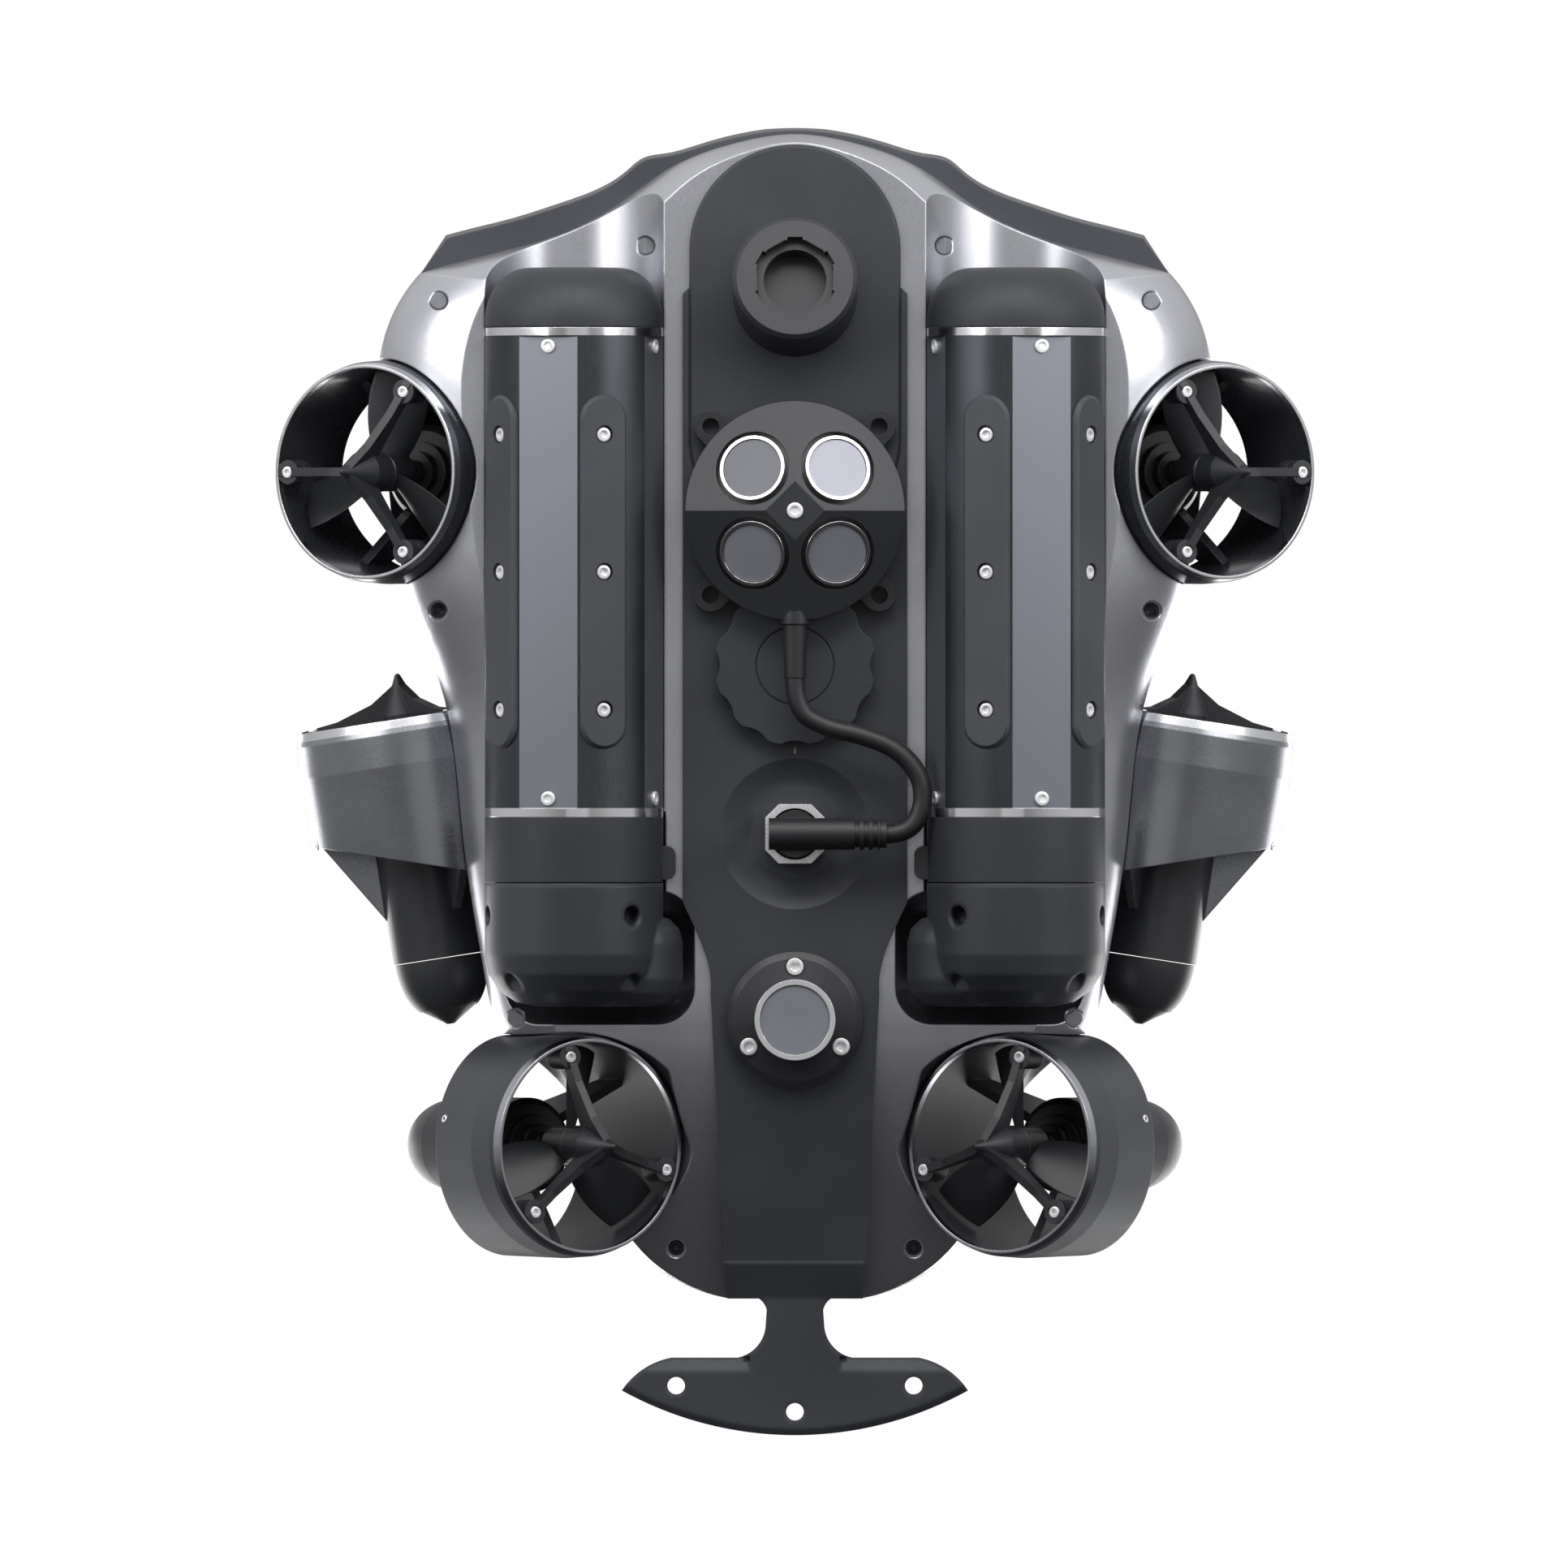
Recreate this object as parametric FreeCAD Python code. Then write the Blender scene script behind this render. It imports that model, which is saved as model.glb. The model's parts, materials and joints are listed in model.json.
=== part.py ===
import FreeCAD, Part
import math
import os

# Underwater inspection vehicle. Millimetres, +Z up, +Y towards the nose, +X to the vehicle's right.
# It stands on the skid pads of its two batteries, so the ground is z = 0.

# Clearances
SEAT_GAP = 0.15        # between pieces let into each other
FREE_GAP = 0.3         # between pieces of different bodies
RUN_FIT = 0.05         # radial play of a shaft in its bore

# Hull
BELLY_Z = 38.0         # flat underside of the lower shell
SEAM_Z = 72.0          # parting plane of the two shells
DECK_Z = 166.0         # flat top of the upper shell
BELLY_RISE = 24.0      # how far the underside climbs towards the tail
BELLY_RISE_Y = -60.0   # where it starts to climb
TAIL_Y = -170.5        # rear end of the shells
NOSE_LINE = [(0, 213), (19.4, 210.1), (42.6, 201), (59.3, 189.1), (75.5, 180.7), (98.7, 173.8), (123.5, 167)]
SIDE_LINE = [(123.5, 167), (136.6, 138.8), (134.4, 101), (128.8, 65), (115.9, 28), (109.5, -18.7),
             (102.2, -65), (95.8, -84.4), (76, -102), (68, -122), (62.5, -142), (46.9, -159.7),
             (22.3, TAIL_Y)]
LOWER_LEVELS = [(BELLY_Z, 0.80, 0.985), (44.0, 0.88, 0.99), (56.0, 0.97, 0.997), (SEAM_Z, 1.0, 1.0)]
UPPER_LEVELS = [(SEAM_Z, 1.0, 1.0), (112.0, 1.0, 0.995), (142.0, 0.975, 0.95), (158.0, 0.87, 0.86),
                (DECK_Z, 0.68, 0.72)]

# Nose visor
VISOR_LINE = [(0, 215.5), (19.4, 213.2), (30.9, 210.1), (42.6, 206.9), (50, 205.4), (55.8, 200.9),
              (61.6, 196.9), (78.4, 190.2), (92.8, 185.6), (104.4, 182.7), (115.1, 179.9)]
VISOR_BACK = (60.0, 150.0)
VISOR_TOP_Z = 126.0
VISOR_FULL_Z = 84.0
VISOR_LEAN = 6.0
CAMERA_R = 16.0
CAMERA_Z = 98.0
CAMERA_FLOOR_Y = 203.0
HEADLIGHT_R = 11.0
HEADLIGHT_X = 78.0
HEADLIGHT_FLOOR_Y = 178.0
LENS_DEPTH = 5.0

# Keel cover and the plate let into it
KEEL_HALF = 36.9
KEEL_THICK = 5.0
KEEL_FRONT_Y = 168.0
KEEL_WAIST = [(KEEL_HALF, -40), (33.6, -47), (29.4, -57), (27.7, -70)]
KEEL_TAIL_Y = TAIL_Y + 12.5
KEEL_TAIL_HALF = 23.3
PLATE_HALF = 34.7
PLATE_FRONT_Y = 209.0
PLATE_REAR_Y = 78.0
PLATE_PROUD = 1.2

# Accessory socket on the plate
SOCKET_Y = 160.3
SOCKET_R = 20.5
SOCKET_TALL = 23.0
SOCKET_LEAN = 12.0
SOCKET_MOUTH_R = 13.0
SOCKET_MOUTH_DEEP = 4.5
SOCKET_CUP_R = 10.3
SOCKET_CUP_DEEP = 14.0

# Velocity log
DVL_Y = 88.6
DVL_R = 36.0
DVL_TOP_Z = 26.3
DVL_FACE_Z = 8.0
DVL_SLOPE = 20.0
DVL_FLAT = 9.7
DVL_NECK_R = 23.8
DVL_EAR_SPAN = 55.3
DVL_EAR_R = 5.4
DVL_EAR_HOLE_R = 2.8
DVL_EAR_Z = 27.6
EYE_OFFSET = 13.9
EYE_RECESS_R = 12.4
EYE_RECESS_DEEP = 2.4
EYE_RING_R = 10.9
EYE_RING_WALL = 1.1
EYE_RING_TALL = 3.2
EYE_FACE_TALL = 2.6
DVL_SCREW_R = 2.7

# Lead from the velocity log to the hull
CORD_Z = 18.9
CORD_R = 3.15
RELIEF_R = 4.0
RELIEF_TIP_R = 3.5
RELIEF_Y = 51.4
GLAND_R = 4.8
CORD_ROUTE = [(0, 33.7), (0, 23.6), (-9.5, 17.6), (-21.5, 15.2), (-33.5, 10.6), (-41.0, 2.2),
              (-42.4, -6.6), (-39.6, -14.4), (-33.9, -17.5), (-30.1, -17.5)]
PLUG_R = 5.2
PLUG_END_X = 8.6
PLUG_POST_R = 7.8
PLUG_GROOVES = [-20.4, -23.4, -26.4]
GROOVE_WIDE = 1.6
GROOVE_DEEP = 0.8

# Hull connector in its dished recess
PORT_Y = -17.5
DISH_R = 24.8
DISH_FLOOR_R = 14.6
DISH_DEEP = 3.6
NUT_ACROSS = 19.5
NUT_CORNER = 4.4
NUT_TALL = 8.0
NUT_BORE_R = 8.4

# Lock knob
KNOB_Y = 37.8
KNOB_R = 26.3
KNOB_TALL = 5.6
KNOB_SCALLOPS = 12
SCALLOP_R = 9.0
SCALLOP_DEEP = 1.6
KNOB_PIN_R = 5.0
KNOB_PIN_DEEP = 3.2
KNOB_RING_R = 13.0

# Altimeter sonar
SONAR_Y = -78.6
SONAR_R = 22.4
SONAR_TALL = 4.6
SONAR_RING_R = 13.3
SONAR_RING_TALL = 10.0
SONAR_FACE_R = 11.3
SONAR_FACE_DEEP = 3.0
SONAR_SCREW_R = 2.9
SONAR_SCREW_RING = 17.5

# Tail fin
FIN_THICK = 8.0
FIN_HOLE_R = 2.9
FIN_HOLES = [(39.1, TAIL_Y - 28.7), (-39.1, TAIL_Y - 28.7), (0.0, TAIL_Y - 37.3)]
FIN_BEVEL = 2.2

# Blanking plugs and sunk screws of the lower shell
PLUG_SPOTS = [(49.1, 176.0), (117.2, 157.9), (92.0, -78.2)]
SCREW_SPOTS = [(117.3, 56.0), (39.1, -153.8)]
SPOT_HOLE_R = 3.2
BLANK_R = 2.6
SPOT_DEEP = 3.0
SCREW_DEEP = 6.0

# Tether socket on the rear deck
TETHER_Y = -95.0
TETHER_R = 10.5
TETHER_TALL = 12.0
TETHER_SUNK = 8.0
TETHER_BORE_R = 8.0
TETHER_BORE_DEEP = 9.0

# Batteries
TUBE_X = 72.6
TUBE_R = 29.3
TUBE_FRONT_Y = 148.7
TUBE_REAR_Y = -12.0
FACET_HALF = 10.0
FACET_LEAN = 17.5
CAP_FRONT_Y = 168.5
CAP_FLAT_R = 14.7
COLLAR_REAR_Y = -33.4
SPIGOT_R = 24.0
SPIGOT_LONG = 8.0
TROUGH_GAP = 1.0
PAD_PROUD = 1.2
PAD_FACE = TUBE_R + PAD_PROUD
PAD_WIDE = 16.0
PAD_FRONT_Y = 126.5
PAD_REAR_Y = 10.4
PAD_BEVEL = 1.0
PAD_ROOT_DEEP = 9.3
PAD_ANGLES = [-19.5, 54.5]
PAD_SCREW_Y = [113.5, 68.4, 23.2]
PAD_BORE_R = 3.0
TUBE_SCREW_R = 2.4
TUBE_SCREW_Y = [142.6, -5.9]
DOCK_REAR_Y = -74.2
DOCK_BULGE_X = 56.8
DOCK_BULGE_R = 20.0
VENT_R = 3.4
VENT_DEEP = 5.0
VENTS = [(-41.0, -44.3), (76.0, -44.3), (-46.0, -66.5), (50.0, -66.5)]
LATCH_PROUD = 4.1
LATCH_REACH = TUBE_R + LATCH_PROUD
LATCH_DEEP = 24.6
LATCH_Y = -27.0
LATCH_LONG = 11.0
LATCH_TALL = 9.0
LATCH_TRAVEL = 2.0
TUBE_Z = (PAD_FACE * math.cos(math.radians(PAD_ANGLES[0]))
          + (PAD_WIDE / 2 - PAD_BEVEL) * abs(math.sin(math.radians(PAD_ANGLES[0]))))

# Thrusters. Distances along the axis are from the plane of the duct's mouth, positive ahead of it.
DUCT_RIM_R = 35.3
DUCT_SHOULDER = (36.4, -4.5)
DUCT_MID_R = 36.9
DUCT_MID_S = -15.0
DUCT_REAR_R = 36.2
DUCT_BORE_R = 34.2
DUCT_FREE_LONG = 37.5
DUCT_BODY_LONG = 60.0
POD_R = 15.75
POD_FRONT_S = -36.0
POD_REAR_S = -80.0
VANE_THICK = 3.0
MOTOR_STEPS = [(10.0, -33.0), (7.0, -29.5), (4.3, -26.0)]
SHAFT_R = 2.0
SHAFT_FRONT_S = -12.0
CAP_TAIL_S = -102.0
PROP_HUB_R = 6.4
PROP_FRONT_S = -8.2
PROP_REAR_S = -20.5
PROP_MID_S = -14.0
BLADES = 3
BLADE_TIP_R = 33.2
BLADE_SECTIONS = [(4.5, 11.0, 3.0, 52.0), (18.0, 19.0, 2.2, 38.0), (34.5, 17.0, 1.2, 27.0)]
GUARD_TIP_S = 15.0
GUARD_HUB_R = 6.8
GUARD_HUB_REAR_S = -7.4
GUARD_ARM_THICK = 2.8
GUARD_PAD_R = 4.0
GUARD_PAD_RING = 30.4
GUARD_PAD_S = -4.0
GUARD_SCREW_R = 1.9
GUARD_LUG_S = -8.4
TUNNEL_GAP = 0.4
FRONT = {"name": "front", "mouth": (141.5, 101.6, 50.0), "lean": 33.0, "side": 1, "arms": 0.0, "vanes": 60.0}
REAR = {"name": "rear", "mouth": (67.2, -120.1, 28.8), "lean": 32.6, "side": -1, "arms": -75.0,
        "vanes": -23.0}
MIDDLE = {"name": "middle", "mouth": (129.1, 20.6, 100.0), "lean": 8.8, "side": 0, "arms": 0.0, "vanes": 0.0}


def V(x, y, z=0.0):
    return FreeCAD.Vector(x, y, z)


def cyl(r, h, base, axis):
    return Part.makeCylinder(r, h, base, axis)


def tube(r_out, r_in, h, base, axis):
    return cyl(r_out, h, base, axis).cut(cyl(r_in, h, base, axis))


def polygon(points):
    return Part.makePolygon(points + [points[0]])


def prism(wire, height):
    return Part.Face(wire).extrude(V(0, 0, height))


def spline(points):
    curve = Part.BSplineCurve()
    curve.interpolate(points)
    return curve.toShape()


def arc(a, b, c):
    return Part.Arc(a, b, c).toShape()


def line(a, b):
    return Part.makeLine(a, b)


def revolve_z(edges_or_points):
    """Solid of revolution about Z from an (r, z) polygon of points or ready edges in the XZ plane."""
    if isinstance(edges_or_points[0], tuple):
        wire = polygon([V(r, 0, z) for r, z in edges_or_points])
    else:
        wire = Part.Wire(edges_or_points)
    return Part.Face(wire).revolve(V(0, 0, 0), V(0, 0, 1), 360)


def placed(shape, x_dir, y_dir, z_dir, origin):
    """The shape moved from its own axes to the given ones."""
    matrix = FreeCAD.Matrix(x_dir.x, y_dir.x, z_dir.x, origin.x,
                            x_dir.y, y_dir.y, z_dir.y, origin.y,
                            x_dir.z, y_dir.z, z_dir.z, origin.z,
                            0, 0, 0, 1)
    moved = shape.copy()
    moved.Placement = FreeCAD.Placement(matrix).multiply(shape.Placement)
    return moved


def turned(shape, degrees, centre=None, axis=None):
    moved = shape.copy()
    moved.rotate(centre or V(0, 0, 0), axis or V(0, 0, 1), degrees)
    return moved


def mirrored(shape):
    return shape.mirror(V(0, 0, 0), V(1, 0, 0))


def both_sides(points):
    """A nose line given from the centre outwards, as one line from left to right."""
    return [V(-x, y) for x, y in reversed(points[1:])] + [V(x, y) for x, y in points]


# ---------------------------------------------------------------- hull

def waterline(z, share_x, share_y):
    """Closed plan outline of the hull at one height."""
    nose = [V(p.x * share_x, p.y * share_y, z) for p in both_sides(NOSE_LINE)]
    right = [V(x * share_x, y * share_y, z) for x, y in SIDE_LINE]
    left = [V(-p.x, p.y, z) for p in reversed(right)]
    return Part.Wire([spline(nose), spline(right), line(right[-1], left[0]), spline(left)])


def hull_part(levels):
    return Part.makeLoft([waterline(*level) for level in levels], True, False)


def rounded_end(radius, corner, steps):
    """Profile points of a round end whose corner is rounded in straight steps, from its face outwards."""
    angles = [math.pi / 2 * k / steps for k in range(steps + 1)]
    return [(radius - corner + corner * math.sin(a), corner - corner * math.cos(a)) for a in angles]


def along_y(shape, origin):
    """A solid made about Z, laid along +Y from the origin given."""
    return placed(shape, V(1, 0, 0), V(0, 0, -1), V(0, 1, 0), origin)


def under_belly(drop, thick):
    """A slab that follows the underside of the hull, its upper face this far below it."""
    run = BELLY_RISE_Y - TAIL_Y
    radius = (run ** 2 + BELLY_RISE ** 2) / (2 * BELLY_RISE)
    end_y = BELLY_RISE_Y - 1.35 * run
    profile = []
    for z in (BELLY_Z - drop, BELLY_Z - drop - thick):
        rise = radius - math.sqrt(radius ** 2 - (1.35 * run) ** 2)
        mid_rise = radius - math.sqrt(radius ** 2 - (0.7 * run) ** 2)
        profile.append((V(-200, 240, z), V(-200, BELLY_RISE_Y, z),
                        V(-200, BELLY_RISE_Y - 0.7 * run, z + mid_rise), V(-200, end_y, z + rise)))
    top, low = profile
    wire = Part.Wire([line(top[0], top[1]), arc(top[1], top[2], top[3]), line(top[3], low[3]),
                      arc(low[3], low[2], low[1]), line(low[1], low[0]), line(low[0], top[0])])
    return Part.Face(wire).extrude(V(400, 0, 0))


def belly_height(y):
    run = BELLY_RISE_Y - TAIL_Y
    radius = (run ** 2 + BELLY_RISE ** 2) / (2 * BELLY_RISE)
    back = max(0.0, BELLY_RISE_Y - y)
    return BELLY_Z + radius - math.sqrt(radius ** 2 - back ** 2)


def axes_of(unit):
    """Outboard, third and forward direction of a right-hand thruster."""
    lean = math.radians(unit["lean"])
    if unit["side"] == 0:
        ahead = V(math.sin(lean), math.cos(lean), 0)
        outboard = V(math.cos(lean), -math.sin(lean), 0)
    else:
        ahead = V(unit["side"] * math.sin(lean), 0, -math.cos(lean))
        outboard = V(math.cos(lean), 0, unit["side"] * math.sin(lean))
    return outboard, ahead.cross(outboard), ahead


def set_in(unit, shape):
    outboard, third, ahead = axes_of(unit)
    return placed(shape, outboard, third, ahead, V(*unit["mouth"]))


def tunnel(unit):
    """The round way through the hull that a duct sits in, with a domed end round the pod."""
    radius = DUCT_MID_R + TUNNEL_GAP
    front = {"front": 4.0, "middle": 34.0, "rear": 4.0}[unit["name"]]
    rear = {"front": 66.0, "middle": 125.0, "rear": 130.0}[unit["name"]]
    shape = cyl(radius, front + rear, V(0, 0, -rear), V(0, 0, 1))
    shape = shape.fuse(Part.makeSphere(radius, V(0, 0, -rear)))
    if unit["name"] == "middle":
        shape = shape.fuse(Part.makeSphere(radius, V(0, 0, front)))
    shape = shape.fuse(cyl(POD_R + 2.0, 130.0, V(0, 0, CAP_TAIL_S - 6.0), V(0, 0, 1)))
    return set_in(unit, shape)


def trough():
    """Way of one battery under the hull, open to the nose, with a dished pocket round its dock."""
    way = cyl(TUBE_R + TROUGH_GAP, 250.0, V(TUBE_X, DOCK_REAR_Y + 22.0, TUBE_Z), V(0, 1, 0))
    pocket = cyl(TUBE_R + TROUGH_GAP + 0.6, 70.0, V(TUBE_X, DOCK_REAR_Y - 6.0, TUBE_Z), V(0, 1, 0))
    floor_rim = [e for e in pocket.Edges if e.CenterOfMass.y < DOCK_REAR_Y and len(e.Vertexes) == 1]
    pocket = pocket.makeFillet(14.0, floor_rim)
    side = cyl(DOCK_BULGE_R + 4.0, 44.0, V(DOCK_BULGE_X, DOCK_REAR_Y - 6.0, TUBE_Z + 4.0), V(0, 1, 0))
    side_rim = [e for e in side.Edges if len(e.Vertexes) == 1 and e.Curve.TypeId == "Part::GeomCircle"]
    side = side.makeFillet(12.0, side_rim)
    return way.fuse(pocket).fuse(side)


def underside_at(shell, x, y):
    """Height of the shell's underside above a spot."""
    ray = line(V(x, y, -20), V(x, y, SEAM_Z - 1)).common(shell)
    return min(v.Point.z for v in ray.Vertexes)


def visor_wire(z, pull):
    front = [V(p.x * (1 - pull / 300.0), p.y - pull, z) for p in both_sides(VISOR_LINE)]
    corner = NOSE_LINE[-1]
    right = V(corner[0], corner[1], z)
    left = V(-corner[0], corner[1], z)
    back_right = V(VISOR_BACK[0], VISOR_BACK[1], z)
    back_left = V(-VISOR_BACK[0], VISOR_BACK[1], z)
    return Part.Wire([spline(front), line(front[-1], right), line(right, back_right),
                      line(back_right, back_left), line(back_left, left), line(left, front[0])])


def nose_visor():
    low = Part.makeLoft([visor_wire(SEAM_Z, 1.2), visor_wire(VISOR_FULL_Z, 0.0)], True, True)
    high = Part.makeLoft([visor_wire(VISOR_FULL_Z, 0.0), visor_wire(VISOR_TOP_Z, VISOR_LEAN)], True, True)
    body = low.fuse(high)
    body = body.cut(cyl(CAMERA_R + 1.0, 30.0, V(0, CAMERA_FLOOR_Y, CAMERA_Z), V(0, 1, 0)))
    for x in (HEADLIGHT_X, -HEADLIGHT_X):
        body = body.cut(cyl(HEADLIGHT_R + 0.5, 30.0, V(x, HEADLIGHT_FLOOR_Y, CAMERA_Z), V(0, 1, 0)))
    return body


def camera_lens():
    back = CAMERA_FLOOR_Y
    barrel = cyl(CAMERA_R, LENS_DEPTH, V(0, back, CAMERA_Z), V(0, 1, 0))
    dome = Part.makeSphere(CAMERA_R * 1.2, V(0, back - CAMERA_R * 0.55, CAMERA_Z))
    front = cyl(CAMERA_R - 2.0, 14.0, V(0, back + LENS_DEPTH - 1.0, CAMERA_Z), V(0, 1, 0))
    return barrel.fuse(dome.common(front))


def headlight_lenses():
    lens = cyl(HEADLIGHT_R, LENS_DEPTH, V(HEADLIGHT_X, HEADLIGHT_FLOOR_Y, CAMERA_Z), V(0, 1, 0))
    return Part.Compound([lens, mirrored(lens)])


def shells():
    tunnels = [tunnel(unit) for unit in (FRONT, MIDDLE, REAR)]
    tunnels += [mirrored(t) for t in tunnels]
    ways = [trough(), mirrored(trough())]
    lower = hull_part(LOWER_LEVELS).cut(under_belly(0.0, 60.0)).cut(ways).cut(tunnels)
    upper = hull_part(UPPER_LEVELS).cut(tunnels)
    visor_room = Part.makeLoft([visor_wire(SEAM_Z, 0.0), visor_wire(VISOR_TOP_Z, 0.0)], True, True)
    front_room = Part.makeBox(300, 80, VISOR_TOP_Z - SEAM_Z, V(-150, NOSE_LINE[-1][1], SEAM_Z))
    upper = upper.cut(visor_room).cut(front_room)
    upper = upper.cut(cyl(TETHER_R + 1.5, 30.0, V(0, TETHER_Y, DECK_Z - TETHER_SUNK), V(0, 0, 1)))
    return lower, upper


def lower_fittings(lower):
    """Drills the lower shell and gives its blanking plugs and sunk screws, clear of the batteries' way."""
    way = trough()
    blanks = []
    screws = []
    holes = []
    for x, y in PLUG_SPOTS:
        z = underside_at(lower, x, y)
        holes.append(cyl(SPOT_HOLE_R, z + SPOT_DEEP, V(x, y, 0), V(0, 0, 1)))
        blanks.append(cyl(BLANK_R, SPOT_DEEP - 0.4, V(x, y, z + 0.4), V(0, 0, 1)).cut(way))
    for x, y in SCREW_SPOTS:
        z = underside_at(lower, x, y)
        holes.append(cyl(SPOT_HOLE_R, z + SCREW_DEEP, V(x, y, 0), V(0, 0, 1)))
        screws.append(cyl(BLANK_R, 2.0, V(x, y, z + SCREW_DEEP - 2.0), V(0, 0, 1)))
    holes += [mirrored(h) for h in holes]
    blanks += [mirrored(b) for b in blanks]
    screws += [mirrored(s) for s in screws]
    return lower.cut(holes), Part.Compound(blanks), Part.Compound(screws)


def tether_socket():
    base_z = DECK_Z - TETHER_SUNK
    body = cyl(TETHER_R, TETHER_TALL, V(0, TETHER_Y, base_z), V(0, 0, 1))
    bore_floor = base_z + TETHER_TALL - TETHER_BORE_DEEP
    bore = cyl(TETHER_BORE_R, TETHER_BORE_DEEP, V(0, TETHER_Y, bore_floor), V(0, 0, 1))
    return body.cut(bore)


# ---------------------------------------------------------------- keel, plate, fin

def stadium(half, front_y, rear_y, z0, height):
    front = V(0, front_y, z0)
    rear = V(0, rear_y, z0)
    f0 = V(-half, front_y - half, z0)
    f1 = V(half, front_y - half, z0)
    r0 = V(half, rear_y + half, z0)
    r1 = V(-half, rear_y + half, z0)
    return prism(Part.Wire([arc(f0, front, f1), line(f1, r0), arc(r0, rear, r1), line(r1, f0)]), height)


def keel_cover():
    waist = [V(x, y) for x, y in KEEL_WAIST]
    tail = V(KEEL_TAIL_HALF, KEEL_TAIL_Y)
    corner = V(KEEL_HALF, KEEL_FRONT_Y - 8)
    shoulder = V(KEEL_HALF - 8, KEEL_FRONT_Y)
    right = [line(shoulder, corner), line(corner, waist[0]), spline(waist), line(waist[-1], tail)]
    left = [e.mirror(V(0, 0, 0), V(1, 0, 0)) for e in right]
    ends = [line(tail, V(-tail.x, tail.y)), line(V(-shoulder.x, shoulder.y), shoulder)]
    outline = Part.Wire(Part.sortEdges(right + left + ends)[0])
    body = prism(outline, 90.0).common(under_belly(0.0, KEEL_THICK))
    body = body.cut(stadium(PLATE_HALF + SEAT_GAP, PLATE_FRONT_Y, PLATE_REAR_Y - SEAT_GAP, 0.0, 60.0))
    face_z = BELLY_Z - KEEL_THICK
    dish = Part.makeCone(DISH_R, DISH_FLOOR_R, DISH_DEEP, V(0, PORT_Y, face_z), V(0, 0, 1))
    body = body.cut(dish)
    return body.cut(cyl(KNOB_PIN_R + RUN_FIT, KNOB_PIN_DEEP + 0.3, V(0, KNOB_Y, face_z), V(0, 0, 1)))


def payload_plate():
    low = BELLY_Z - KEEL_THICK - PLATE_PROUD
    body = stadium(PLATE_HALF, PLATE_FRONT_Y, PLATE_REAR_Y, low, KEEL_THICK + PLATE_PROUD)
    rim = [e for e in body.Edges if abs(e.CenterOfMass.z - low) < 0.01]
    return body.makeChamfer(0.8, rim)


def payload_socket():
    lean = math.radians(SOCKET_LEAN)
    out = V(0, math.sin(lean), -math.cos(lean))
    side = V(1, 0, 0)
    body = cyl(SOCKET_R, SOCKET_TALL + 12.0, V(0, 0, -12.0), V(0, 0, 1))
    body = body.makeChamfer(1.4, [e for e in body.Edges if abs(e.CenterOfMass.z - SOCKET_TALL) < 0.01])
    mouth = Part.makeLoft([polygon([V(SOCKET_MOUTH_R * math.cos(math.radians(30 * k + 15)),
                                      SOCKET_MOUTH_R * math.sin(math.radians(30 * k + 15)), z)
                                    for k in range(12)])
                           for z in (SOCKET_TALL - SOCKET_MOUTH_DEEP, SOCKET_TALL + 1)], True, True)
    body = body.cut(mouth)
    body = body.cut(cyl(SOCKET_CUP_R, SOCKET_TALL, V(0, 0, SOCKET_TALL - SOCKET_CUP_DEEP), V(0, 0, 1)))
    for k in range(6):
        notch = Part.makeBox(2.6, 5.0, SOCKET_MOUTH_DEEP + 1,
                             V(SOCKET_MOUTH_R - 2.0, -2.5, SOCKET_TALL - SOCKET_MOUTH_DEEP))
        body = body.cut(turned(notch, 60 * k + 30))
    plate_z = BELLY_Z - KEEL_THICK - PLATE_PROUD
    body = placed(body, side, out.cross(side), out, V(0, SOCKET_Y, plate_z))
    return body.cut(Part.makeBox(80, 80, 30, V(-40, SOCKET_Y - 40, plate_z)))


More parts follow.
